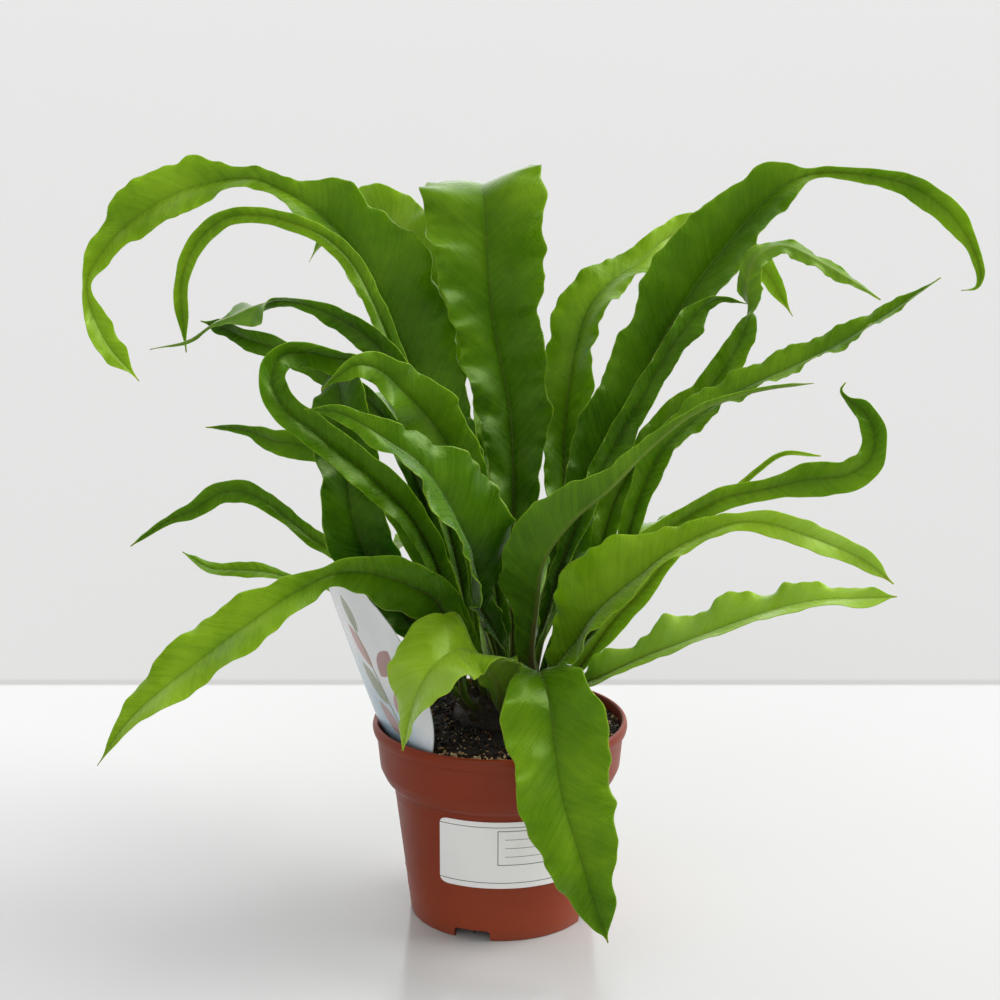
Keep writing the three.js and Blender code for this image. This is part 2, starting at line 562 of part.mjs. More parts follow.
// Frames along the rib: point, tangent, side and face (the upper side's normal). The side
// is carried along without turning, and then rolled round the rib.
function framesOf(frond) {
  const curve = ribOf(frond);
  const length = curve.getLength();
  const steps = Math.round(length / STEP / STEPS_PER_STATION) * STEPS_PER_STATION;
  const side = polar(1, frond.azimuth + 90);
  const frames = [];
  for (let i = 0; i <= steps; i++) {
    const share = i / steps;
    const tangent = curve.getTangentAt(share);
    side.addScaledVector(tangent, -side.dot(tangent)).normalize();
    const roll = THREE.MathUtils.degToRad(eased(frond.roll, share));
    const turned = side.clone().applyAxisAngle(tangent, roll);
    const face = tangent.clone().cross(turned);
    const point = curve.getPointAt(share);
    frames.push({ share, along: share * length, point, tangent, side: turned, face });
  }
  return frames;
}

function stationsOf(frond) {
  return framesOf(frond).filter((frame, i) => i % STEPS_PER_STATION === 0);
}

// The upper and lower points of a frond's section at a frame, from one margin over the
// rib to the other. spare is added all round, for the socket that the frond stands in.
function sectionOf(frond, frame, spare) {
  const { share, side, face, point, along } = frame;
  const [leftHeight, rightHeight, waveLength] = frond.waves;
  const half = eased([[0, BASE_WIDTH], ...frond.width], share) / 2 + spare;
  const fold = THREE.MathUtils.degToRad(eased(frond.fold, share));
  const rise = smooth(share / WAVE_START) * Math.min(1, half / WAVED_HALF);
  const keel = KEEL * (1 - share) ** KEEL_TAPER;
  const upper = [];
  const lower = [];
  for (const hand of [-1, 0, 1]) {
    const phase = (2 * Math.PI * along) / waveLength + hand * WAVE_LAG;
    const wave = (hand < 0 ? leftHeight : rightHeight) * rise * Math.sin(phase);
    const lift = Math.abs(hand) * (half * Math.sin(fold) + wave);
    const top = point.clone().addScaledVector(side, hand * half * Math.cos(fold)).addScaledVector(face, lift);
    const normal = face.clone().addScaledVector(side, -hand * Math.tan(fold)).normalize();
    const onRib = hand === 0 ? 1 / Math.cos(fold) : 1;
    const under = BLADE * onRib + (hand === 0 ? keel : 0) + spare;
    upper.push(top.clone().addScaledVector(normal, spare * onRib));
    lower.push(top.clone().addScaledVector(normal, -under));
  }
  return [...upper, ...lower];
}

// The closed skin of a frond over the frames that are given.
function bladeOf(frond, frames, spare = 0) {
  const positions = frames.flatMap((frame) => sectionOf(frond, frame, spare).flatMap((p) => p.toArray()));
  const index = [];
  const quad = (a, b, c, d) => index.push(a, b, c, a, c, d);
  const end = (frames.length - 1) * SECTION_POINTS;
  for (let at = 0; at < end; at += SECTION_POINTS) {
    const next = at + SECTION_POINTS;
    for (const k of [0, 1]) {
      quad(at + k, next + k, next + k + 1, at + k + 1);
      index.push(at + 3 + k, next + 4 + k, next + 3 + k);
      index.push(at + 3 + k, at + 4 + k, next + 4 + k);
    }
    quad(at, at + 3, next + 3, next);
    quad(at + 2, next + 2, next + 5, at + 5);
  }
  for (const k of [0, 1]) {
    quad(k, k + 1, k + 4, k + 3);
    quad(end + k, end + 3 + k, end + 4 + k, end + 1 + k);
  }
  return skinOf(positions, index);
}

// A frond's socket is its own foot, made larger all round and open upwards.
function socketOf(frond) {
  const [first, ...others] = stationsOf(frond).slice(0, SOCKET_STATIONS);
  const foot = { ...first, point: first.point.clone().addScaledVector(first.tangent, -GAP) };
  return bladeOf(frond, [foot, ...others], GAP);
}

// The crown is a low dome with a plain socket for each frond.
function crown() {
  const profile = [[0, CROWN_FOOT_Z], [CROWN_RADIUS, CROWN_FOOT_Z], [CROWN_RADIUS, CROWN_SIDE_Z]];
  for (const radius of CROWN_STEPS) profile.push([radius, crownHeight(radius)]);
  const dome = lathe(profile, CROWN_SEGMENTS);
  dome.translate(CROWN_CENTRE.x, CROWN_CENTRE.y, 0);
  let solid = solidOf(dome);
  for (const frond of FRONDS) solid = solid.subtract(solidOf(socketOf(frond)));
  return meshOf("crown", geometryOf(solid), material.crown);
}

// Pot

// The radius of the tapered wall below the shoulder.
function wallRadius(z) {
  return FOOT_RADIUS + (SHOULDER_RADIUS - FOOT_RADIUS) * (z / SHOULDER_Z);
}

// The pot's wall from a height up to the lip, moved inwards.
function wallProfile(fromZ, inwards) {
  const wall = [
    [wallRadius(fromZ), fromZ],
    [SHOULDER_RADIUS, SHOULDER_Z],
    [LEDGE_RADIUS, LEDGE_Z],
    [BAND_FOOT_RADIUS, BAND_FOOT_Z],
    [BAND_RADIUS, LIP_Z],
  ];
  return wall.map(([radius, z]) => [radius - inwards, z]);
}

// The floor from the middle of its pad up the slope round it, lifted by a thickness.
function floorProfile(lift) {
  return [[0, lift], [PAD_RADIUS, lift], [PAD_RADIUS + FLOOR_Z, FLOOR_Z + lift]];
}

function pot() {
  const profile = [
    ...floorProfile(0),
    [FOOT_RADIUS - FOOT_RING, FLOOR_Z],
    [FOOT_RADIUS - FOOT_RING, 0],
    ...wallProfile(0, 0),
    ...LIP_PROFILE,
    ...wallProfile(FLOOR_Z + POT_WALL, POT_WALL).reverse(),
    ...floorProfile(POT_WALL).reverse(),
  ];
  let solid = solidOf(lathe(profile, POT_SEGMENTS));
  for (const turn of NOTCH_TURNS) {
    const notch = new THREE.BoxGeometry(NOTCH_LENGTH, NOTCH_WIDTH, 2 * NOTCH_HEIGHT);
    notch.translate(FOOT_RADIUS, 0, 0);
    notch.rotateZ(THREE.MathUtils.degToRad(turn));
    const drain = upright(DRAIN_RADIUS, 4 * POT_WALL, DRAIN_SIDES);
    drain.translate(...polar(DRAIN_CIRCLE, turn, FLOOR_Z + POT_WALL / 2));
    solid = solid.subtract(solidOf(notch)).subtract(solidOf(drain));
  }
  return meshOf("pot", geometryOf(solid), material.pot);
}

// The label is cut out of a thin band round the pot by a plate with round corners.
function label() {
  const low = LABEL_Z - LABEL_SPARE;
  const high = LABEL_Z + LABEL_HEIGHT + LABEL_SPARE;
  const near = (z) => [wallRadius(z) + GAP, z];
  const far = (z) => [wallRadius(z) + GAP + LABEL_THICKNESS, z];
  const band = lathe([near(low), far(low), far(high), near(high), near(low)], POT_SEGMENTS);
  const x = LABEL_WIDTH / 2 - LABEL_CORNER;
  const y = LABEL_HEIGHT / 2 - LABEL_CORNER;
  const outline = new THREE.Shape();
  [[x, -y], [x, y], [-x, y], [-x, -y]].forEach(([cx, cy], corner) => {
    const turn = (corner - 1) * (Math.PI / 2);
    outline.absarc(cx, cy, LABEL_CORNER, turn, turn + Math.PI / 2);
  });
  outline.closePath();
  const plate = new THREE.ExtrudeGeometry(outline, {
    depth: 2 * SHOULDER_RADIUS,
    bevelEnabled: false,
    curveSegments: LABEL_CORNER_STEPS,
  });
  plate.rotateX(Math.PI / 2);
  plate.translate(0, 0, LABEL_Z + LABEL_HEIGHT / 2);
  plate.rotateZ(THREE.MathUtils.degToRad(LABEL_TURN));
  return meshOf("label", geometryOf(solidOf(band).intersect(solidOf(plate))), material.label);
}

// Soil

// Soil fills the pot inside and stands as a low uneven mound with plain holes for the
// crown and the tag. Two roots grow out through the front drain hole.
function soil() {
  const shell = POT_WALL + GAP;
  const edge = BAND_RADIUS - shell;
  const wall = wallProfile(FLOOR_Z + shell, shell).slice(0, -1);
  const profile = [...floorProfile(shell), ...wall, [edge, SOIL_EDGE_Z]];
  for (let ring = 1; ring <= SOIL_RINGS; ring++) {
    const inwards = ring / SOIL_RINGS;
    profile.push([edge * (1 - inwards), SOIL_EDGE_Z + SOIL_RISE * Math.sin((inwards * Math.PI) / 2)]);
  }
  const geometry = lathe(profile, SOIL_SEGMENTS);
  const points = geometry.attributes.position;
  for (let i = 0; i < points.count; i++) {
    const z = points.getZ(i);
    if (z > SOIL_EDGE_Z + GAP) points.setZ(i, z + clods(points.getX(i), points.getY(i)));
  }
  const well = upright(CROWN_RADIUS + GAP, WELL_HEIGHT, CROWN_SEGMENTS);
  well.translate(CROWN_CENTRE.x, CROWN_CENTRE.y, CROWN_FOOT_Z - GAP + WELL_HEIGHT / 2);
  let solid = solidOf(geometry).subtract(solidOf(well)).subtract(solidOf(tagGeometry(GAP)));
  for (const root of ROOTS) solid = solid.add(solidOf(rootGeometry(root)));
  return meshOf("soil", geometryOf(solid), material.soil);
}

// The unevenness of the soil's top, as a sum of slow and quick waves.
function clods(x, y) {
  const waves = CLODS.map(({ height, along, across }) => {
    const [a, b] = [along[0] * x + along[1] * y, across[0] * x + across[1] * y];
    return height * Math.sin(a) * Math.cos(b);
  });
  return waves.reduce((sum, wave) => sum + wave);
}

function rootGeometry(points) {
  const curve = new THREE.CatmullRomCurve3(points.map((p) => new THREE.Vector3(...p)));
  const corners = Array.from({ length: ROOT_SIDES }, (_, i) => polar(ROOT_RADIUS, (360 * i) / ROOT_SIDES));
  const ring = new THREE.Shape(corners.map((corner) => new THREE.Vector2(corner.x, corner.y)));
  return new THREE.ExtrudeGeometry(ring, { extrudePath: curve, steps: ROOT_STEPS });
}

// Care tag

// Rows of the tag from the stake's point to the oval's top: height and half width.
function tagRows(spare) {
  const rows = [[TAG_POINT - spare, TAG_POINT_HALF + spare], [TAG_STAKE, TAG_STAKE_HALF + spare]];
  for (let i = 0; i <= TAG_OVAL_ROWS; i++) {
    const turn = Math.PI * (TAG_NECK + (1 - TAG_NECK) * (i / TAG_OVAL_ROWS));
    const half = Math.max(TAG_HALF_WIDTH * Math.sin(turn), TAG_CAP_HALF);
    rows.push([TAG_CENTRE - TAG_HALF_HEIGHT * Math.cos(turn), half + spare]);
  }
  return rows;
}

// The tag's skin: a grid of points on its outer side, the same grid on its inner side,
// and a strip round the edge. spare is added all round, for the slot in the soil.
function tagGeometry(spare = 0) {
  const out = polar(1, TAG_AZIMUTH);
  const along = polar(1, TAG_AZIMUTH + 90);
  const tilt = THREE.MathUtils.degToRad(TAG_LEAN);
  const up = polar(Math.sin(tilt), TAG_AZIMUTH, Math.cos(tilt));
  const heart = polar(TAG_SEAT_RADIUS - TAG_BEND, TAG_AZIMUTH, RIM_Z);
  const positions = [];
  const rows = tagRows(spare);
  for (const face of [1, -1]) {
    const radius = TAG_BEND + face * (TAG_THICKNESS / 2 + spare);
    for (const [height, half] of rows) {
      for (let column = 0; column <= TAG_COLUMNS; column++) {
        const angle = ((column / TAG_COLUMNS) * 2 - 1) * (half / TAG_BEND);
        const point = heart.clone().addScaledVector(up, height);
        point.addScaledVector(out, radius * Math.cos(angle)).addScaledVector(along, radius * Math.sin(angle));
        positions.push(...point);
      }
    }
  }
  const index = [];
  const quad = (a, b, c, d) => index.push(a, b, c, a, c, d);
  const across = TAG_COLUMNS + 1;
  const inner = rows.length * across;
  const top = inner - across;
  for (let row = 0; row < top; row += across) {
    for (let a = row; a < row + TAG_COLUMNS; a++) {
      quad(a, a + 1, a + 1 + across, a + across);
      quad(inner + a, inner + a + across, inner + a + 1 + across, inner + a + 1);
    }
    const right = row + TAG_COLUMNS;
    quad(row, row + across, inner + row + across, inner + row);
    quad(right, inner + right, inner + right + across, right + across);
  }
  for (let a = 0; a < TAG_COLUMNS; a++) {
    quad(a, inner + a, inner + a + 1, a + 1);
    quad(top + a, top + a + 1, inner + top + a + 1, inner + top + a);
  }
  return skinOf(positions, index);
}

const holder = new THREE.Group();
holder.add(pot(), label(), soil(), meshOf("care_tag", tagGeometry(), material.tag));

const plant = new THREE.Group();
plant.add(crown());
for (const frond of FRONDS) plant.add(meshOf(frond.name, bladeOf(frond, stationsOf(frond)), material.frond));

const fern = new THREE.Group();
fern.add(holder, plant);

export default fern;
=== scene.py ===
# A potted strap-leaved fern with waved fronds, in a plastic nursery pot with soil, a care
# tag and a plain label. Every piece stands where its solid stands in the frame. Sizes are
# in millimetres in the frame's axes until a mesh, light or camera is made in metres.

import math
import random
from collections import namedtuple

import bmesh
import bpy
import numpy as np
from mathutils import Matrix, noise


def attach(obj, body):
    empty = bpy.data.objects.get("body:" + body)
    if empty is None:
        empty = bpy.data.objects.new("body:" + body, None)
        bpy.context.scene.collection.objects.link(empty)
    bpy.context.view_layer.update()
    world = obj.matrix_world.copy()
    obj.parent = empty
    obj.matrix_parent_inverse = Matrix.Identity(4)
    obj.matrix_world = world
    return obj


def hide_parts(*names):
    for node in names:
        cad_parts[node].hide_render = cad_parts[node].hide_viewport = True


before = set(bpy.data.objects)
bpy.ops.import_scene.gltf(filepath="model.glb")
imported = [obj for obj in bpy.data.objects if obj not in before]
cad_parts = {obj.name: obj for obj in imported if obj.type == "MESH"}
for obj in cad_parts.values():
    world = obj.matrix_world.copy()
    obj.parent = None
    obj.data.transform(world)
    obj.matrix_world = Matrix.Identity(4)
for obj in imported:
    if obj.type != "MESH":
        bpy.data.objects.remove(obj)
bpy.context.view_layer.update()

MM = 0.001
SOIL_SEED, CROWN_SEED, FROND_SEED = 11, 23, 100

# Camera and stage
CAMERA_PLACE = (0, -860, 389)
CAMERA_DOWN = 13.48  # degrees below level
CAMERA_LENS = 75.6
SENSOR = 36
TABLE_EDGE = 302  # the table ends this far behind the pot
STAGE_HALF = 3000000

# Lights: azimuth, height, strength, angle of the disc and colour, with angles in degrees
SUNS = {  # a soft key from the right, and a broad weak light from the front
    "window": (10, 42, 2.9, 44, (1.0, 0.99, 0.97)),
    "front": (262, 26, 0.95, 75, (0.98, 0.99, 1.0)),
}
SKY_COLOUR = (0.86, 0.87, 0.87, 1)
SKY_WAY = (0, 1, 0.35)  # to the brightest part of the sky, low behind the pot
SKY_SPAN = (0.1, 1.1)  # how far along that way its strength starts and stops growing
SKY_STRENGTHS = (0.36, 1.9)

# Pot: radii and heights of the outside
RIM_RADIUS = 55
RIM_Z = 87
LIP_Z = 81
BAND_RADIUS = 53.2
BAND_FOOT_RADIUS = 51.8
BAND_FOOT_Z = 66.5
LEDGE_RADIUS = 49.6
LEDGE_Z = 61.7
SHOULDER_RADIUS = 46
SHOULDER_Z = 58.5
FOOT_RADIUS = 39
LIP = (  # how far in from the rim's radius, and height
    (0.6, LIP_Z + 0.6), (0, LIP_Z + 3), (0.5, RIM_Z - 0.8), (1.4, RIM_Z), (2.3, RIM_Z - 0.4),
)
FOOT_RING = 2.4
POT_WALL = 1.5
FLOOR_Z = 4.8
FLOOR_HEART = 3  # radius of the flat disc in the middle of the turned floor
PAD_RADIUS = 12
NOTCH_WIDTH = 16
NOTCH_HEIGHT = 4.6
NOTCH_LENGTH = 18
NOTCH_CORNER = 1.4
NOTCH_TURNS = (-108, -18, 72, 162)
DRAIN_RADIUS = 4.5
DRAIN_CIRCLE = 28
DRAIN_SEGMENTS = 40
POT_SEGMENTS = 176
POT_SHARP = 38  # edges with a greater angle stay sharp
MOULD_RINGS = (12, 20.5, 54)  # heights of the faint raised lines round the wall
MOULD_RISE = 0.16
MOULD_HALF = 0.5
CORNER_CUT = 0.8  # how far the section's corners are rounded
CORNER_SHARE = 0.42  # and the greatest share of a side that this may take
CORNER_STEPS = 4

# Soil
SOIL_EDGE_Z = 83.5
SOIL_RISE = 2.2
SOIL_GAP = 0.3
SOIL_RINGS = 62
SOIL_SEGMENTS = 190
LOOSE_SHARP = 50  # of soil and crown
CLODS = (  # height, turns along and turns across, in radians a mm
    (0.7, (0.11, 0.02), (-0.03, 0.13)),
    (0.5, (0.47, 0.21), (-0.18, 0.52)),
)
CRUMB_SCALES = ((0.22, 1.3), (0.6, 0.9), (1.5, 0.5))  # turns a mm and height of the crumbs
GRAINS = 2300
GRAIN_SPREAD = (0.12, 0.985)  # squares of the least and greatest share of the soil's radius
GRAIN_LEAST, GRAIN_MORE = 0.28, 0.5
CRUMB, BARK, GRIT = 0.0, 0.5, 1.0
GRAIN_KINDS = (  # chance of this kind or one before it, kind, and sizes on three axes
    (0.40, CRUMB, (1.6, 1.2, 1)),
    (0.78, BARK, (2.6, 1.1, 0.6)),
    (1.00, GRIT, (1, 0.8, 0.7)),
)
SOIL_SPOTS = (  # more grains: kind, number, radii and azimuths from the middle, and sizes
    (GRIT, 190, (42, 51), (-135, -60), (0.35, 0.85)),
    (BARK, 60, (36, 50), (-40, 80), (0.9, 2.1)),
    (GRIT, 90, (34, 51), (-40, 80), (0.4, 1.0)),
    (CRUMB, 60, (30, 50), (-180, 180), (0.8, 1.7)),
)
SPOT_AXES = (1.5, 1, 0.7)
GRAIN_BUMPS = (0.72, 1.15)
GRAIN_LIFT, SPOT_LIFT = 0.35, 0.4  # of their size, above the soil
ROOT_RADIUS = 0.55
ROOTS = (
    ((-8.5, -26, 9), (-8.8, -27, 4.5), (-10, -30, 2.4), (-11, -34.5, 1.7)),
    ((-7, -25.5, 9), (-6.6, -27, 4.4), (-6, -29.5, 2.6), (-8.2, -33.5, 2.2)),
)
ROOT_SAMPLES = 10
ROOT_WIGGLE = 0.35
ROOT_TAPER = (1.2, 0.45)

# Crown
CROWN_CENTRE = np.array((6.0, 9.0, 0.0))
CROWN_RADIUS = 26
CROWN_FOOT_Z = 80
CROWN_SIDE_Z = 86
CROWN_DOME = 12
CROWN_SEGMENTS = 96
DOME_TURNS = np.linspace(0.06, 1.5, 40)  # of the rings up the dome, in radians
CROWN_LUMPS = ((0.35, 1.2), (1.1, 0.6))  # turns a mm and height
CROWN_STUBS = 90  # of old fronds
STUB_REACH = (4, 25)  # from the middle
STUB_SINK = 1.5
STUB_LEAN = 2.1  # degrees a mm from the middle
STUB_LENGTHS = (3, 7)
STUB_RADII = np.linspace(1.9, 1.1, 5)  # from foot to end
STUB_SIDES = 8
CROWN_SCALES = 420
SCALE_SPREAD = (0.02, 0.99)  # squares of the least and greatest share of the radius
SCALE_SINK = 0.4
SCALE_LEAN = 2
SCALE_LENGTHS = (2.2, 5)
SCALE_HALVES = (0.25, 0.5)
RINGS = {"inner": (9, 6), "middle": (15, 20), "outer": (22, 42)}  # radius and lean
ROOT_SINK = 5
ROOT_RISE = 9

# Care tag, with heights along the sheet from the level of the rim
TAG_AZIMUTH = 212
TAG_LEAN = 20
TAG_BEND = 80
TAG_SEAT_RADIUS = 50.2
TAG_THICKNESS = 0.6
TAG_HALF_WIDTH = 31.5
TAG_HALF_HEIGHT = 48
TAG_CENTRE = 33
TAG_NECK = 0.14
TAG_POINT = (-48, 1.5)  # height and half width of the stake's end
TAG_STAKE = -40
TAG_STAKE_HALF = 7
TAG_TOP_HALF = 1.2
TAG_STAKE_ROWS, TAG_ROWS, TAG_COLUMNS = 24, 72, 41
SPRIG = (  # leaves of the print: middle across and up, length, width, turn in degrees, tint
    (-4.0, 44.0, 22, 9, 118, (0.47, 0.22, 0.19)),
    (12.0, 40.0, 20, 9, 52, (0.36, 0.17, 0.15)),
    (-3.0, 26.0, 22, 10, 124, (0.24, 0.27, 0.13)),
    (15.0, 23.0, 20, 9, 48, (0.47, 0.24, 0.20)),
    (0.0, 9.0, 20, 9, 128, (0.38, 0.20, 0.17)),
    (-3.0, 60.0, 18, 8, 104, (0.22, 0.26, 0.13)),
)
STEM_SLANT, STEM_ACROSS, STEM_HALF, STEM_SPAN = 0.22, 8.5, 0.5, (0.0, 58.0)

# Label, with places on it from its middle
LABEL_WIDTH = 53
LABEL_HEIGHT = 31
LABEL_Z = 25.5
LABEL_TURN = 2
LABEL_CORNER = 3
LABEL_THICKNESS = 0.3
LABEL_GAP = 0.05
LABEL_ROWS, LABEL_COLUMNS = 63, 73
LABEL_RULES = (LABEL_HEIGHT / 2 - 2.4, 2.6 - LABEL_HEIGHT / 2)  # heights of the two long ones
LABEL_BOX = ((-2.4, 21.5), (-4.4, 11.4))  # sides and heights
LABEL_LINES = (7.4, 3.4, -0.6)  # heights of the lines in the box
LABEL_LINE_ENDS = (0.6, 18.5)
RULE_HALF, BOX_HALF, LINE_HALF = 0.16, 0.17, 0.12
SHEET_SHARP = 40

# Fronds
BASE_WIDTH = 4.2
TIP_WIDTH = 1.4
KEEL = 1.2
KEEL_TAPER = 1.5
WAVED_HALF = 8
WAVE_START = 0.3
WAVE_LAG = 1.1
WAVE_POWER = 1.5  # how fast the waves grow from the rib to the margin
SWELL_MIDDLE = 1.05
SWELL = ((0.22, 71), (0.14, 43))  # uneven height of the waves, and its lengths
WANDER = ((1.9, 91), (1.2, 53), (0.8, 33))  # how far the waves stray, and over what lengths
OUTLINE = ((0.035, 37), (0.03, 19), (0.02, 11))  # uneven share of the width, and its lengths
FREE_FOOT, FREE_TIP = 0.2, 0.06  # shares of the length over which these two set in
RUFFLES = ((1, 0.41), (0.6, 0.23))  # height to the longer one's, length to the main wave's
RUFFLE_SHARE = 0.42  # of the main wave's height, for the longer ruffle
RUFFLE_MOST = 0.8  # its greatest height, and with the shorter one they reach 1.3 mm
RUFFLE_POWER = 4
STEP = 1.5
STEPS_PER_STATION = 5
RIB_SAMPLES = 40  # between two points of the rib
BLADE_MIDDLE = 0.6  # thickness beside the rib
BLADE_MARGIN = 0.3
MARGIN_ROUND = 0.12
GROOVE = 0.28  # depth of the furrow over the rib
GROOVE_HALF = 0.55
KEEL_HALF = 0.9
BULGE = 0.05  # how far each half bows up between rib and margin
TIP_SHARE = 0.04  # share of the length over which the tip grows slim
TIP_SLIM = 0.3  # how much of its width and thickness is left at its end
SLANT = 0.5  # how far a wave runs towards the tip on its way to the margin
COLUMNS = (0, 0.04, 0.09, 0.17, 0.28, 0.4, 0.52, 0.64, 0.76, 0.87, 0.95, 1)
PLACES = (*[-column for column in COLUMNS[:0:-1]], *COLUMNS)  # from margin to margin
VEIN_SLANT = 0.85
VEIN_SPACING = 1.15

# Colours: a name in the plural holds two, for the low and the high end of what mixes them
GREENS = (0.010, 0.046, 0.001), (0.064, 0.165, 0.002)
# The second colour here is a painted sheen: a whitish green for the brightest parts of the blades.
BRIGHT_GREEN, PAINTED_SHEEN = (0.270, 0.430, 0.014), (0.380, 0.520, 0.170)
FOOT_GREEN, UNDER_GREEN = (0.060, 0.085, 0.008), (0.190, 0.320, 0.045)
RIB_GREEN, RIB_BROWN = (0.030, 0.058, 0.004), (0.034, 0.024, 0.006)
UNDER_RIB_GREEN, UNDER_RIB_BROWN = (0.240, 0.320, 0.070), (0.070, 0.045, 0.016)
MARGIN_GREEN = (0.240, 0.340, 0.025)
TIP_BROWN, SPOT_BROWN = (0.150, 0.085, 0.020), (0.160, 0.130, 0.020)
FROND_TINT = (0.5, 0.75, 0.18, 1)  # of the blades' reflections
POT_REDS = (0.245, 0.033, 0.009), (0.200, 0.026, 0.007)
POT_FLOW, POT_SPECK = (0.285, 0.050, 0.018), (0.420, 0.190, 0.120)
# The first colour here is painted light that makes the pot lighter towards its foot.
POT_PAINTED_LIGHT, POT_DUST = (0.400, 0.072, 0.025), (0.160, 0.080, 0.058)
PEAT_BROWNS = (0.0025, 0.0019, 0.0015), (0.013, 0.009, 0.006)
CRUMB_BROWN = (0.024, 0.015, 0.009)
BARK_BROWNS = (0.030, 0.013, 0.006), (0.130, 0.062, 0.026)
GRIT_TANS = (0.300, 0.160, 0.062), (0.640, 0.470, 0.270)
ROOT_GREYS = (0.010, 0.009, 0.009), (0.050, 0.046, 0.045)
STEM_BROWNS = (0.007, 0.005, 0.003), (0.030, 0.019, 0.010)
STUB_BROWNS = (0.025, 0.016, 0.007), (0.070, 0.068, 0.018)
SCALE_BROWNS = (0.030, 0.013, 0.006), (0.110, 0.052, 0.021)
# A painted shade colour for the crown's stem.
STEM_SHADOW = (0.020, 0.013, 0.008)
PAPER_WHITES = (0.89, 0.88, 0.86), (0.94, 0.93, 0.92)
PAPER_STAIN, INK = (0.78, 0.76, 0.72), (0.030, 0.030, 0.034)
TAG_WHITES = (0.72, 0.73, 0.74), (0.84, 0.85, 0.86)
TAG_BLUE, TAG_DARK_FOOT = (0.26, 0.44, 0.56), (0.10, 0.11, 0.10)
TAG_STEM, TAG_BACK = (0.16, 0.20, 0.08), (0.66, 0.66, 0.65)
TABLE_WHITES = (0.53, 0.53, 0.53), (0.57, 0.57, 0.57)
# The second colour is that of a painted shadow line along the table's edge.
BACKDROP, EDGE_SHADOW = (0.52, 0.52, 0.52), (0.40, 0.39, 0.39)

Frond = namedtuple("Frond", "name ring azimuth tone waves rib width fold roll")
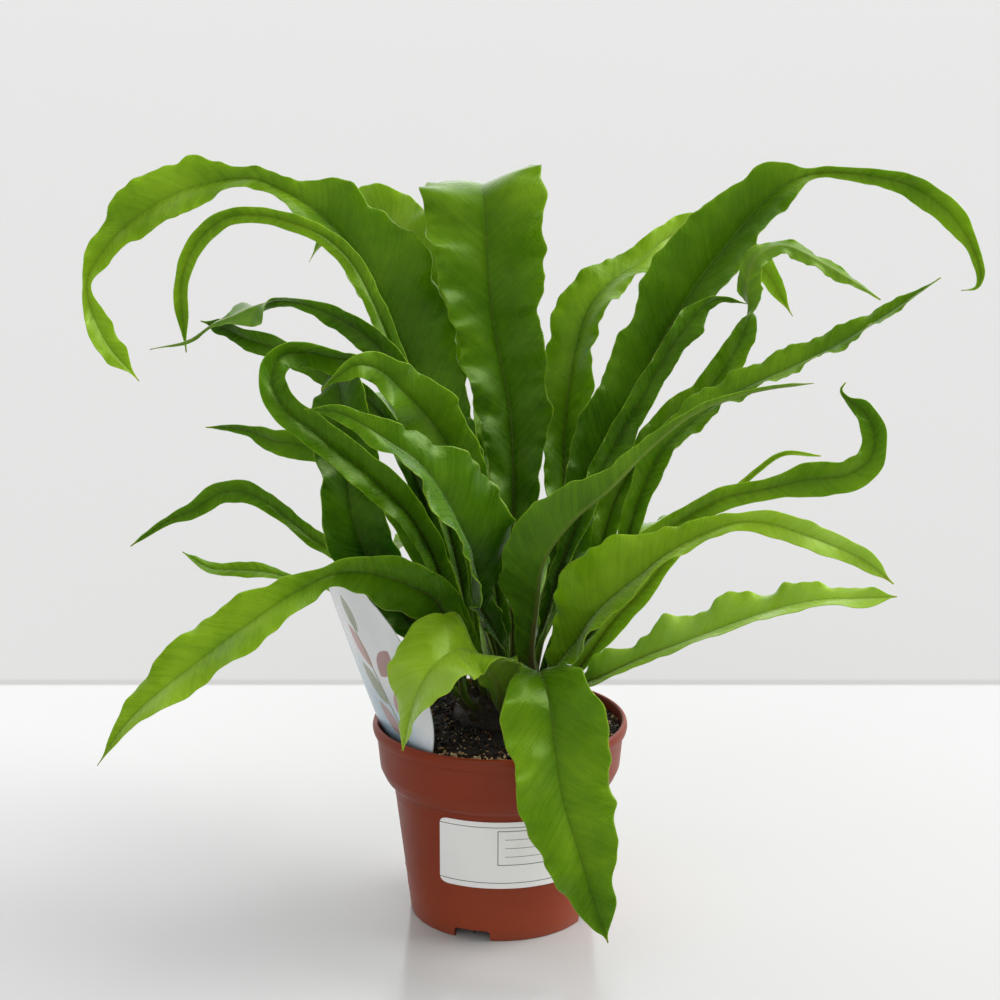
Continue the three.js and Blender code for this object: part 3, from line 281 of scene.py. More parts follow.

# One row a frond: its ring and azimuth on the crown; the tone of its green at the foot and
# at the tip, from 0 for the deepest to 1 for the brightest, which is partly the blade's own
# green and partly painted light: painted shade on fronds that sit in shade and a painted
# sheen where blades catch the light; the heights of the left and right margins' waves and
# their length; the rib's points from the crown to the tip; and values at percents of the
# length for the width, for the fold of each half and for the roll round the rib.
FRONDS = [Frond(*row) for row in (
    ("left_arch", "inner", 140, (0.1, 1), (1.8, 1, 31),
     ((-10, 31, 133), (-13, 44, 165), (-28, 59, 201), (-42, 72, 230), (-62, 84, 271),
      (-83, 90, 295), (-100, 93, 305), (-111, 95, 309), (-126, 96, 308), (-143, 95, 304),
      (-159, 93, 296), (-173, 91, 285), (-183, 89, 272), (-187, 87, 263), (-185, 86, 250),
      (-178, 84, 235), (-164, 81, 219)),
     {8: 6, 14: 10, 20: 17, 30: 35, 40: 53, 48: 56, 56: 38, 62: 11, 66: 12, 72: 28, 77: 28, 84: 13,
      88: 4, 93: 13, 96: 12},
     {0: 40, 56: 34, 64: 20, 100: 14},
     {0: -10, 20: -18, 35: -7, 50: -8, 62: -28, 80: -36, 87: -60, 92: -87, 100: -87}),
    ("centre_back", "inner", 94, (0.1, 0.7), (2, 2.4, 29),
     ((5, 44, 133), (6, 63, 178), (4, 75, 210), (-2, 81, 239), (-5, 83, 263), (-6, 87, 285),
      (-7, 92, 300), (-8, 101, 305), (-7, 116, 305), (-6, 138, 297), (-4, 160, 284)),
     {8: 6, 17: 8, 33: 25, 44: 38, 54: 42, 62: 48, 70: 54, 78: 55, 86: 42},
     {0: 30, 50: 24, 75: 10, 100: 6},
     {0: 0, 20: 6, 62: 9, 72: -8, 100: -8}),
    ("back_left", "middle", 108, (0.5, 0.9), (1.2, 1.2, 30),
     ((-6, 46, 128), (-16, 70, 166), (-25, 88, 200), (-32, 104, 234), (-38, 116, 261),
      (-47, 130, 280), (-56, 144, 288), (-66, 154, 290), (-76, 162, 286), (-86, 168, 275),
      (-94, 172, 262)),
     {8: 6, 16: 10, 30: 20, 55: 27, 75: 32, 81: 27, 90: 15},
     {0: 34, 70: 14},
     {0: 0, 30: -30, 45: -21, 75: -20, 85: -45, 100: -60}),
    ("left_hook", "middle", 149, (0.45, 0.8), (0.8, 0.8, 27),
     ((-14, 20, 135), (-22, 25, 171), (-34, 33, 206), (-45, 40, 236), (-55, 46, 260),
      (-65, 52, 277), (-77, 53, 288), (-91, 53, 294), (-105, 52, 297), (-118, 50, 296),
      (-128, 48, 289), (-135, 46, 278), (-138, 43, 265), (-137, 41, 252), (-136, 40, 239)),
     {10: 6, 30: 8, 60: 9, 75: 7, 84: 8, 93: 6},
     {0: 36, 70: 12},
     {0: 0, 26: -42, 50: -42, 70: -52, 100: -60}),
    ("right_arch", "inner", 12, (0.1, 0.8), (1.6, 1.4, 31),
     ((22, 18, 137), (34, 30, 173), (46, 41, 197), (59, 50, 218), (70, 57, 239), (89, 62, 269),
      (100, 64, 283), (117, 66, 303), (127, 67, 310), (140, 67, 314), (160, 66, 313),
      (178, 62, 309), (196, 58, 297), (206, 54, 282), (209, 51, 271), (207, 49, 266),
      (200, 47, 265)),
     {8: 6, 12: 7, 23: 19, 31: 32, 44: 35, 54: 46, 60: 38, 66: 27, 72: 5, 78: 7, 84: 12, 89: 11,
      94: 5},
     {0: 40, 60: 38, 72: 22, 100: 14},
     {0: 0, 12: 50, 25: 60, 40: 50, 56: 52, 70: 56, 76: 96, 90: 90, 100: 75}),
    ("back_right", "inner", 52, (0.3, 1), (1.8, 1.4, 29),
     ((24, 38, 130), (27, 57, 153), (29, 71, 178), (30, 80, 203), (34, 90, 229), (41, 100, 250),
      (52, 110, 261), (65, 121, 268), (78, 135, 277), (91, 147, 281), (105, 155, 278),
      (119, 160, 268), (131, 164, 257), (138, 166, 246), (144, 166, 236)),
     {10: 9, 20: 13, 31: 23, 45: 28, 56: 29, 62: 22, 67: 15, 78: 16, 90: 15, 94: 9},
     {0: 34, 50: 24, 70: 14},
     {0: 0, 20: 45, 32: 44, 40: 20, 50: -5, 60: 5, 75: 70, 82: 110, 100: 100}),
    ("right_under", "inner", 335, (0.25, 0.4), (1.8, 2, 19),
     ((24, 4, 146), (37, 8, 181), (49, 12, 204), (59, 14, 222), (69, 18, 239), (79, 22, 253),
      (88, 27, 262), (94, 28, 264), (105, 27, 262)),
     {10: 6, 28: 8, 44: 10, 57: 13, 67: 11, 78: 10, 85: 13, 92: 6, 95: 2.5},
     {0: 36, 70: 22, 90: 12},
     {0: 0, 30: 90, 44: 118, 70: 112, 85: 125, 100: 145}),
    ("right_twist", "middle", 35, (0.5, 0.7), (2.2, 2.4, 20),
     ((41, 20, 149), (51, 28, 178), (64, 34, 198), (76, 37, 212), (89, 37, 222), (99, 36, 236),
      (105, 37, 248), (107, 35, 259), (106, 36, 269), (109, 37, 280), (121, 41, 285),
      (141, 42, 276), (164, 40, 262)),
     {10: 7, 34: 13, 55: 13, 61: 13, 69: 9, 74: 13, 80: 9, 90: 8},
     {0: 34, 70: 12},
     {0: 0, 30: 45, 55: 50, 65: 66, 74: 215, 100: 235}),
    ("right_long", "middle", 356, (0.45, 0.7), (1.8, 1.2, 24),
     ((41, -2, 128), (51, 0, 155), (59, 4, 182), (69, 8, 203), (82, 10, 215), (97, 12, 225),
      (113, 13, 233), (131, 14, 241), (152, 14, 253), (184, 14, 275)),
     {10: 7, 35: 11, 50: 15, 60: 17, 76: 18, 86: 12},
     {0: 36, 70: 26, 100: 20},
     {0: 0, 30: 75, 42: 72, 60: 42, 80: 32, 100: 32}),
    ("right_reach", "middle", 302, (0.2, 0.6), (0.8, 2.4, 29),
     ((13, -17, 118), (15, -30, 146), (18, -46, 170), (29, -54, 188), (42, -57, 200),
      (58, -58, 217), (74, -60, 231), (89, -61, 238), (104, -62, 242), (121, -62, 244)),
     {10: 8, 20: 14, 33: 32, 48: 34, 62: 14, 70: 8, 80: 4},
     {0: 40, 70: 50},
     {0: 0, 50: 10, 100: 10}),
    ("right_front", "outer", 318, (0.65, 1.15), (1, 1.6, 34),
     ((25, -23, 118), (33, -32, 133), (37, -43, 144), (45, -50, 155), (56, -56, 166),
      (66, -61, 176), (78, -65, 184), (92, -68, 190), (105, -70, 190), (118, -71, 186),
      (131, -72, 181), (142, -73, 176), (153, -74, 167)),
     {10: 12, 18: 14, 27: 30, 40: 44, 47: 38, 56: 20, 64: 11, 70: 8, 76: 11, 84: 11, 93: 8},
     {0: 38, 50: 32, 70: 18, 100: 12},
     {0: 20, 15: 60, 26: 76, 40: 60, 64: 54, 74: 86, 85: 80, 100: 100}),
    ("right_curl", "middle", 331, (1.1, 0.5), (0.5, 2, 30),
     ((39, -12, 136), (51, -17, 158), (64, -21, 172), (78, -24, 182), (92, -26, 190),
      (109, -27, 194), (125, -28, 198), (141, -28, 200), (150, -27, 206), (152, -25, 216),
      (148, -21, 225), (142, -18, 229), (139, -17, 233), (141, -16, 236)),
     {10: 7, 34: 11, 50: 10, 64: 9, 72: 14, 80: 14, 88: 10, 93: 8, 97: 2},
     {0: 36, 70: 16},
     {0: 0, 20: 70, 34: 98, 64: 100, 80: 104, 90: 84, 100: 84}),
    ("right_mid", "outer", 18, (1.1, 1), (0.8, 0.8, 24),
     ((49, 15, 125), (61, 16, 138), (74, 18, 154), (88, 19, 169), (101, 20, 182), (112, 21, 192),
      (122, 22, 198), (138, 22, 197)),
     {10: 8, 27: 13, 38: 11, 50: 7, 63: 4, 74: 3, 90: 2.2},
     {0: 36, 70: 14},
     {0: 0, 25: 58, 60: 56, 74: 44, 100: 44}),
    ("right_low", "outer", 345, (1.2, 1.25), (0.3, 2.6, 31),
     ((45, -10, 109), (60, -14, 118), (77, -18, 126), (98, -20, 135), (116, -22, 142),
      (132, -24, 146), (149, -25, 147), (164, -26, 148)),
     {10: 8, 20: 17, 32: 17, 44: 24, 58: 26, 70: 21, 80: 14, 91: 12},
     {0: 36, 50: 28, 80: 16, 100: 12},
     {0: 0, 20: 30, 32: 32, 50: 20, 80: 18, 92: 38, 100: 38}),
    ("front_droop", "outer", 286, (0.65, 0.55), (1.8, 1.2, 31),
     ((12, -27, 104), (14, -36, 115), (16, -46, 122), (18, -56, 121), (20, -65, 114),
      (22, -72, 98), (25, -78, 79), (31, -83, 60), (37, -87, 41), (43, -89, 23)),
     {18: 9, 30: 16, 37: 31, 46: 43, 65: 41, 77: 32, 89: 18},
     {0: 30, 50: 16, 70: 12},
     {0: 0, 30: 0, 36: 2, 46: 10, 55: -6, 70: -8, 80: 4, 90: 20, 100: 20}),
    ("front_short", "outer", 258, (0.6, 1.15), (2.2, 1.6, 29),
     ((-1, -28, 112), (-6, -39, 123), (-9, -50, 131), (-15, -56, 135), (-22, -66, 135),
      (-28, -73, 131), (-33, -78, 122), (-36, -82, 112), (-38, -84, 102)),
     {12: 9, 26: 21, 38: 30, 50: 25, 58: 30, 66: 35, 76: 34, 84: 23, 92: 10},
     {0: 30, 70: 12},
     {0: 0, 30: 10, 42: -20, 58: -60, 66: -50, 74: -24, 84: -6, 100: -6}),
    ("left_front", "outer", 222, (0.25, 0.95), (1.2, 0.8, 36),
     ((-17, -22, 123), (-22, -32, 140), (-27, -39, 151), (-36, -45, 158), (-46, -52, 164),
      (-57, -60, 168), (-66, -68, 169), (-78, -76, 165), (-90, -84, 159), (-116, -96, 142),
      (-140, -105, 123), (-153, -108, 105)),
     {10: 8, 24: 14, 32: 22, 40: 25, 46: 17, 53: 9, 60: 15, 70: 26, 80: 24},
     {0: 30, 40: 24, 60: 12, 100: 10},
     {0: -20, 24: -104, 32: -112, 45: -104, 53: -80, 68: -26, 100: -20}),
    ("left_small", "outer", 192, (0.6, 0.7), (0.8, 0.8, 22),
     ((-45, 0, 128), (-60, -2, 140), (-72, -2, 145), (-89, -4, 150), (-100, -5, 153),
      (-112, -6, 154), (-122, -7, 155), (-133, -10, 163)),
     {10: 5, 50: 5, 64: 3, 78: 8, 90: 7},
     {0: 30, 70: 10},
     {0: 0, 50: -40, 100: -40}),
    ("left_out", "outer", 172, (0.5, 0.55), (1.2, 1.2, 23),
     ((-51, 32, 137), (-69, 38, 148), (-81, 41, 154), (-93, 44, 163), (-104, 46, 171),
      (-114, 48, 175), (-125, 49, 174), (-137, 51, 166), (-150, 52, 160), (-166, 52, 149)),
     {10: 6, 44: 8, 60: 8, 72: 10, 78: 10, 84: 7, 90: 3.5},
     {0: 34, 60: 16, 75: 9},
     {0: 0, 40: -58, 65: -58, 75: -90, 100: -80}),
    ("left_low", "outer", 152, (0.35, 0.55), (0.8, 1, 25),
     ((-28, 42, 132), (-44, 52, 164), (-59, 62, 179), (-77, 70, 188), (-91, 74, 191),
      (-103, 77, 192), (-111, 79, 195), (-120, 81, 197), (-135, 84, 197)),
     {10: 6, 40: 13, 60: 14, 77: 13, 84: 12, 90: 5},
     {0: 34, 70: 10},
     {0: 0, 40: -52, 60: -66, 77: -74, 86: -98, 100: -100}),
    ("left_tall", "middle", 213, (0, 0.25), (1.2, 1.4, 31),
     ((-32, -10, 127), (-47, -17, 147), (-56, -22, 166), (-61, -22, 182), (-63, -20, 196),
      (-64, -16, 212), (-65, -11, 225), (-67, -5, 234), (-70, 2, 235), (-75, 8, 229)),
     {10: 9, 25: 15, 39: 23, 50: 27, 67: 28, 78: 26, 86: 26, 93: 18},
     {0: 30, 60: 20, 80: 12},
     {0: -10, 30: -95, 55: -112, 68: -92, 76: -105, 85: -145, 100: -145}),
    ("left_loop", "middle", 233, (0.35, 0.55), (1, 0.8, 27),
     ((-22, -14, 146), (-31, -24, 172), (-39, -32, 187), (-51, -38, 201), (-63, -41, 212),
      (-75, -42, 222), (-85, -41, 230), (-91, -38, 240), (-88, -32, 249), (-79, -26, 250),
      (-66, -16, 246), (-49, 0, 240)),
     {10: 7, 36: 13, 50: 17, 70: 13, 80: 11, 88: 15},
     {0: 36, 50: 34, 75: 24},
     {0: -40, 30: -115, 70: -116, 76: -98, 80: -60, 86: -27, 100: -27}),
    ("left_wavy", "middle", 190, (0.15, 0.35), (1.6, 2, 22),
     ((-21, 4, 141), (-31, 5, 176), (-41, 8, 202), (-49, 10, 216), (-58, 13, 225), (-70, 17, 231),
      (-83, 22, 238), (-96, 28, 243), (-109, 34, 246), (-120, 40, 250), (-130, 45, 252)),
     {10: 7, 40: 8, 58: 9, 70: 10, 84: 10, 95: 7},
     {0: 36, 40: 30, 60: 18, 100: 12},
     {0: 0, 25: -60, 40: -90, 65: -98, 78: -110, 100: -112}),
    ("left_fold", "middle", 170, (0.2, 0.45), (1.2, 1.2, 24),
     ((-17, 14, 143), (-25, 16, 177), (-34, 22, 208), (-43, 28, 232), (-57, 32, 247),
      (-70, 34, 255), (-82, 35, 260), (-93, 36, 262), (-100, 35, 261), (-107, 33, 259),
      (-114, 30, 256), (-122, 28, 253), (-133, 26, 246), (-149, 24, 243)),
     {10: 7, 33: 8, 45: 11, 62: 12, 68: 10, 73: 6, 79: 7, 83: 24, 87: 7, 90: 3},
     {0: 36, 55: 16, 70: 12},
     {0: 0, 33: -51, 45: -62, 60: -90, 72: -100, 78: -140, 83: -200, 100: -200}),
    ("front_left", "middle", 254, (0.05, 0.5), (2, 1.8, 29),
     ((-1, -16, 126), (-10, -29, 148), (-11, -42, 167), (-17, -52, 187), (-24, -58, 202),
      (-32, -62, 213), (-42, -65, 221), (-53, -67, 229), (-63, -68, 234), (-75, -68, 235)),
     {10: 8, 20: 9, 33: 18, 45: 40, 57: 46, 66: 38, 75: 24, 82: 14, 90: 8},
     {0: 32, 50: 32, 70: 20, 90: 14},
     {0: -40, 33: -108, 60: -94, 80: -93, 90: -140, 100: -150}),
    ("front_bent", "inner", 250, (0.25, 0.6), (1.6, 1.8, 26),
     ((-1, -4, 139), (-5, -6, 167), (-12, -9, 189), (-21, -14, 209), (-30, -22, 224),
      (-39, -30, 235), (-47, -36, 244), (-56, -44, 248), (-64, -48, 244), (-70, -50, 239)),
     {10: 8, 23: 9, 38: 12, 49: 18, 60: 24, 70: 27, 78: 21, 86: 13, 93: 8},
     {0: 34, 60: 22, 80: 15},
     {0: -40, 30: -140, 55: -152, 70: -142, 80: -118, 100: -130}),
    ("back_far", "middle", 86, (0.4, 0.6), (2.2, 2.2, 26),
     ((4, 56, 130), (2, 86, 172), (0, 118, 206), (-2, 146, 222), (-4, 170, 220), (-6, 190, 202)),
     {10: 9, 50: 28, 65: 26},
     {0: 34, 70: 12},
     {0: 0}),
    ("back_west", "outer", 132, (0.4, 0.6), (2, 2, 25),
     ((-16, 58, 128), (-30, 88, 162), (-44, 116, 188), (-58, 140, 200), (-70, 160, 196),
      (-78, 174, 180)),
     {10: 8, 50: 24, 65: 22},
     {0: 34, 70: 12},
     {0: 0}),
    ("back_east", "middle", 64, (0.4, 0.6), (2, 2, 25),
     ((28, 54, 128), (38, 86, 164), (48, 114, 190), (58, 138, 200), (66, 158, 196),
      (70, 172, 180)),
     {10: 8, 50: 25, 65: 22},
     {0: 34, 70: 12},
     {0: 0}),
    ("back_low_west", "outer", 112, (0.6, 0.8), (1.8, 1.8, 25),
     ((-8, 60, 108), (-20, 88, 126), (-34, 114, 134), (-48, 138, 128), (-60, 158, 110)),
     {10: 8, 50: 24, 65: 22},
     {0: 32, 70: 12},
     {0: 0}),
    ("back_low_east", "outer", 74, (0.6, 0.8), (1.8, 1.8, 25),
     ((14, 60, 108), (24, 90, 126), (36, 118, 133), (50, 142, 124), (62, 160, 104)),
     {10: 8, 50: 26, 65: 24},
     {0: 32, 70: 12},
     {0: 0}),
    ("back_side", "outer", 45, (0.6, 0.7), (1.8, 1.8, 25),
     ((34, 42, 112), (52, 62, 133), (68, 84, 146), (82, 106, 148), (92, 124, 138)),
     {10: 8, 50: 22, 65: 20},
     {0: 32, 70: 12},
     {0: 0}),
)]


def smooth(share):
    """An eased step from 0 to 1."""
    t = np.clip(share, 0, 1)
    return t * t * (3 - 2 * t)


def eased(values, share):
    """What values at percents of the length give at shares of it, eased between them."""
    pairs = [(percent / 100, value) for percent, value in values.items()]
    value = np.full(np.shape(share), float(pairs[0][1]))
    for (start, low), (end, high) in zip(pairs, pairs[1:]):
        step = smooth((share - start) / (end - start))
        value = np.where(share > start, low + (high - low) * step, value)
    return value


def polar(radius, degrees, z=0.0):
    angle = math.radians(degrees)
    return np.array((radius * math.cos(angle), radius * math.sin(angle), z))


def unit(vectors):
    return vectors / np.linalg.norm(vectors, axis=-1, keepdims=True)


# Meshes

def scene_object(name, data):
    thing = bpy.data.objects.new(name, data)
    bpy.context.scene.collection.objects.link(thing)
    return thing


def mesh_object(name, points, faces, material, sharp=None, **attributes):
    """An object from points in millimetres, with vector attributes for its material."""
    mesh = bpy.data.meshes.new(name)
    mesh.from_pydata((np.asarray(points) * MM).tolist(), [], faces)
    if signed_volume(mesh) < 0:
        mesh.flip_normals()
    mesh.shade_smooth()
    if sharp:
        mesh.set_sharp_from_angle(angle=math.radians(sharp))
    for key, values in attributes.items():
        attribute = mesh.attributes.new(key, "FLOAT_VECTOR", "POINT")
        attribute.data.foreach_set("vector", np.asarray(values, np.float32).ravel())
    mesh.materials.append(material)
    return scene_object(name, mesh)


def dress(piece, node):
    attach(piece, "root")
    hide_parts(node)


def signed_volume(mesh):
    """The volume that the faces enclose, below zero where they face inwards."""
    shape = bmesh.new()
    shape.from_mesh(mesh)
    volume = shape.calc_volume(signed=True)
    shape.free()
    return volume


def ring_faces(rings, around):
    """The quads between closed rings of points."""
    faces = []
    for low in range(0, (rings - 1) * around, around):
        high = low + around
        for i in range(around):
            nxt = (i + 1) % around
            faces.append((low + i, low + nxt, high + nxt, high + i))
    return faces


def closed_faces(rings, around):
    """The quads between closed rings of points, and a flat end on both sides."""
    last = (rings - 1) * around
    ends = [tuple(range(around))[::-1], tuple(range(last, last + around))]
    return ring_faces(rings, around) + ends


def ribbon(top, bottom, left, right):
    """Rings round a thin blade and its faces, from grids of its two sides and the points of
    its two margins, all with one row a ring."""
    rings = np.concatenate((left[:, None], top, right[:, None], bottom[:, ::-1]), axis=1)
    rows, around = rings.shape[:2]
    columns = top.shape[1]
    cap = [(0, 1, around - 1), (columns, columns + 1, columns + 2)]
    cap += [(i, i + 1, around - i - 1, around - i) for i in range(1, columns)]
    last = (rows - 1) * around
    faces = ring_faces(rows, around)
    faces += [face[::-1] for face in cap]
    faces += [tuple(last + i for i in face) for face in cap]
    return rings, faces


def lathe(profile, segments):
    """Points and faces of a profile of radius and height turned round the z axis."""
    profile = np.asarray(profile, float)
    angle = np.linspace(0, 2 * math.pi, segments, endpoint=False)
    points = np.stack((
        profile[:, :1] * np.cos(angle),
        profile[:, :1] * np.sin(angle),
        np.repeat(profile[:, 1:], segments, axis=1),
    ), axis=-1)
    return points.reshape(-1, 3), closed_faces(len(profile), segments)


def tube(path, radii, sides=10):
    """A round tube along a path with a radius at each point, closed at both ends."""
    tangent = unit(np.gradient(path, axis=0))
    side = unit(np.cross(tangent, (0.13, 0.31, 0.94)))
    other = np.cross(tangent, side)
    angle = np.linspace(0, 2 * math.pi, sides, endpoint=False)[None, :, None]
    ring = side[:, None] * np.cos(angle) + other[:, None] * np.sin(angle)
    points = path[:, None] + ring * radii[:, None, None]
    return points.reshape(-1, 3), closed_faces(len(path), sides)


def rounded(profile):
    """The profile with each inner corner cut back and rounded by a short curve."""
    profile = [np.array(point, float) for point in profile]
    points = [profile[0]]
    for before, corner, after in zip(profile, profile[1:], profile[2:]):
        sides = [np.linalg.norm(end - corner) for end in (before, after)]
        reach = min(CORNER_CUT, CORNER_SHARE * sides[0], CORNER_SHARE * sides[1])
        start = corner + unit(before - corner) * reach
        end = corner + unit(after - corner) * reach
        for t in np.linspace(0, 1, CORNER_STEPS + 1):
            points.append((1 - t) ** 2 * start + 2 * t * (1 - t) * corner + t * t * end)
    points.append(profile[-1])
    return points


# Materials

class Shader:
    """Builds a material's or world's nodes: each method adds some and returns their output."""

    def __init__(self, name, kind="materials"):
        self.owner = getattr(bpy.data, kind).new(name)
        self.owner.use_nodes = True
        self.tree = self.owner.node_tree
        self.tree.nodes.clear()

    def node(self, kind, settings=(), **inputs):
        node = self.tree.nodes.new("ShaderNode" + kind)
        for key, value in settings:
            setattr(node, key, value)
        for key, value in inputs.items():
            self.put(node.inputs[key.replace("_", " ")], value)
        return node

    def put(self, socket, value):
        if isinstance(value, bpy.types.NodeSocket):
            self.tree.links.new(value, socket)
        else:
            socket.default_value = value

    def fill(self, node, *values):
        """Puts values into the node's first sockets, and returns its first output."""
        for socket, value in zip(node.inputs, values):
            self.put(socket, value)
        return node.outputs[0]

    def math(self, operation, *values):
        return self.fill(self.node("Math", [("operation", operation)]), *values)

    def times(self, first, second):
        return self.math("MULTIPLY", first, second)

    def plus(self, first, second):
        return self.math("ADD", first, second)

    def minus(self, first, second):
        return self.math("SUBTRACT", first, second)

    def vary(self, value, *parts):
        """The value with swings about a half added, each times an amount."""
        for part, amount in parts:
            value = self.plus(value, self.times(self.minus(part, 0.5), amount))
        return value

    def ease(self, value, low, high, start=0.0, end=1.0):
        """The value's way from low to high, as an eased number from start to end."""
        node = self.node("MapRange", [("interpolation_type", "SMOOTHSTEP")])
        return self.fill(node, value, low, high, start, end)

    def spread(self, value, start, end):
        """The middle of a noise's range, eased from start to end."""
        return self.ease(value, 0.3, 0.7, start, end)

    def mix(self, share, first, second):
        node = self.node("Mix", [("data_type", "RGBA")])
        for index, value in ((0, share), (6, first), (7, second)):
            self.put(node.inputs[index], (*value, 1) if isinstance(value, tuple) else value)
        return node.outputs[2]

    def coats(self, colour, *coats):
        """The colour under coats: pairs of a share and the colour that covers it."""
        for share, coat in coats:
            colour = self.mix(share, colour, coat)
        return colour

    def noise(self, where, scale, detail=3.0, roughness=0.5):
        node = self.node("TexNoise", Vector=where, Scale=scale, Detail=detail, Roughness=roughness)
        return node.outputs[0]

    def drawn_noise(self, where, sideways, upwards, detail=4.0, roughness=0.6):
        """A noise with one scale sideways and another upwards."""
        scales = (sideways, sideways, upwards)
        parts = [self.times(part, scale) for part, scale in zip(self.split(where), scales)]
        return self.noise(self.join(*parts), 1.0, detail, roughness)

    def attribute(self, name):
        """The three numbers of a vector attribute."""
        node = self.node("Attribute", [("attribute_name", name)])
        return self.split(node.outputs["Vector"])

    def split(self, vector):
        return self.node("SeparateXYZ", Vector=vector).outputs

    def join(self, x, y, z):
        return self.node("CombineXYZ", X=x, Y=y, Z=z).outputs[0]

    def place(self):
        """The place on the piece in millimetres."""
        node = self.node("VectorMath", [("operation", "SCALE")], Scale=1 / MM)
        self.put(node.inputs[0], self.node("TexCoord").outputs["Object"])
        return node.outputs[0]

    def rule(self, value, at, half):
        """One where the value is within half of a place, and zero past it."""
        return self.math("LESS_THAN", self.math("ABSOLUTE", self.minus(value, at)), half)

    def within(self, value, low, high):
        return self.rule(value, (low + high) / 2, (high - low) / 2)

    def bump(self, height, depth, below=None, strength=1.0):
        """Relief of a height from 0 to 1 and a depth in millimetres, on the relief below."""
        node = self.node("Bump", Strength=strength, Distance=depth * MM, Height=height)
        if below is not None:
            self.put(node.inputs["Normal"], below)
        return node.outputs[0]

    def finish(self, kind="BsdfPrincipled", output="OutputMaterial", **inputs):
        self.put(self.node(output).inputs[0], self.node(kind, **inputs).outputs[0])
        return self.owner


def frond_material():
    """A leathery fern blade: greens of many tones that also paint shade and a whitish sheen,
    fine veins that slant to the margin, a darker rib that browns at its foot, a thin pale
    margin and a matt paler underside."""
    s = Shader("frond_skin")
    from_rib, along, share = s.attribute("blade")
    # The tone carries painted light as well as the greens' own tone: painted shade and painted
    # sheen.
    tone, under, reach = s.attribute("tone")
    where = s.place()
    away = s.math("ABSOLUTE", from_rib)
    vein_way = s.minus(along, s.times(away, VEIN_SLANT))

    patches = s.noise(where, 0.03)
    mottle = s.noise(where, 0.22, 4.0, 0.6)
    across_veins = s.join(s.times(vein_way, 0.42), s.times(from_rib, 0.05), tone)
    streaks = s.noise(across_veins, 1.0, 4.0, 0.62)
    vein_turn = s.vary(vein_way, (s.noise(where, 0.12, 2.0), 4.0))
    vein = s.math("SINE", s.times(vein_turn, 2 * math.pi / VEIN_SPACING))
    vein = s.times(s.math("MULTIPLY_ADD", vein, 0.5, 0.5), s.ease(away, 0.8, 3.5))

    streaking = s.spread(under, 0.28, 0.75)
    level = s.vary(tone, (patches, 0.7), (streaks, streaking), (mottle, 0.2), (vein, 0.1))
    green = s.coats(
        s.mix(s.ease(level, 0.0, 0.55), *GREENS),
        (s.ease(level, 0.4, 1.2), BRIGHT_GREEN),
        # painted sheen: whitish green over the brightest levels
        (s.ease(level, 0.9, 1.5, 0.0, 0.5), PAINTED_SHEEN),
        (s.ease(share, 0.03, 0.22, 0.6, 0.0), FOOT_GREEN),
    )
    pale = s.mix(s.ease(tone, 0.0, 1.0, 0.05, 0.38), green, UNDER_GREEN)
    green = s.mix(under, green, pale)

    rib = s.times(s.ease(away, 0.2, 0.85, 1.0, 0.0), s.ease(tone, 0.3, 0.9, 0.8, 0.35))
    browned = s.ease(share, 0.1, 0.6, 0.95, 0.1)
    rib_above = s.mix(browned, s.mix(0.5, green, RIB_GREEN), RIB_BROWN)
    rib_below = s.mix(browned, s.mix(0.6, green, UNDER_RIB_GREEN), UNDER_RIB_BROWN)
    margin = s.times(s.ease(reach, 0.97, 0.995, 0.0, 0.6), s.ease(mottle, 0.35, 0.6, 0.3, 1.0))
    tip = s.vary(share, (mottle, 0.1))
    green = s.coats(
        green,
        (rib, s.mix(under, rib_above, rib_below)),
        (margin, MARGIN_GREEN),
        (s.ease(tip, 0.98, 1.01, 0.0, 0.7), TIP_BROWN),
        (s.ease(s.noise(where, 0.75, 2.0), 0.735, 0.78, 0.0, 0.35), SPOT_BROWN),
    )
    relief = s.bump(vein, 0.025)
    relief = s.bump(s.noise(where, 1.3, 4.0), 0.03, relief)
    relief = s.bump(streaks, 0.05, relief, s.spread(under, 0.5, 1.0))
    relief = s.bump(mottle, 0.25, relief)
    return s.finish(
        Base_Color=green, Normal=relief,
        Roughness=s.vary(s.spread(under, 0.28, 0.38), (streaks, 0.35), (patches, 0.2)),
        Specular_IOR_Level=0.4, Specular_Tint=FROND_TINT, Sheen_Weight=0.14, Sheen_Roughness=0.3,
        Subsurface_Weight=0.5, Subsurface_Radius=(0.8, 1.0, 0.04), Subsurface_Scale=1.5 * MM,
    )


def pot_material():
    """Satin terracotta plastic with flow marks, faint scuffs and dust in the corners, and
    painted light that makes it lighter towards its foot.
    """
    s = Shader("pot_plastic")
    where = s.place()
    z = s.split(where)[2]
    cloud = s.noise(where, 0.03)
    flow = s.drawn_noise(where, 0.05, 0.9)
    colour = s.coats(
        s.mix(cloud, *POT_REDS),
        (s.times(flow, 0.35), POT_FLOW),
        (s.times(s.ease(s.noise(where, 1.1, 2.0), 0.70, 0.74), 0.25), POT_SPECK),
        # painted light: the pot lighter towards its foot
        (s.ease(z, 0.0, 45.0, 0.4, 0.0), POT_PAINTED_LIGHT),
        (s.times(s.ease(z, 0.0, 6.0, 0.4, 0.0), cloud), POT_DUST),
    )
    scuff = s.ease(s.drawn_noise(where, 0.25, 2.6, 5.0, 0.65), 0.60, 0.72)
    rough = s.plus(s.spread(cloud, 0.36, 0.46), s.times(scuff, 0.14))
    relief = s.bump(flow, 0.12, s.bump(s.noise(where, 2.6), 0.035))
    return s.finish(Base_Color=colour, Roughness=rough, Normal=relief, Specular_IOR_Level=0.22)


def loose_colour(s, kind, shade, ground, middle, last):
    """The ground's colour, or that of a middle or last kind, each from dark to pale."""
    return s.coats(
        ground,
        (s.ease(kind, 0.2, 0.45), s.mix(shade, *middle)),
        (s.ease(kind, 0.6, 0.9), s.mix(shade, *last)),
    )


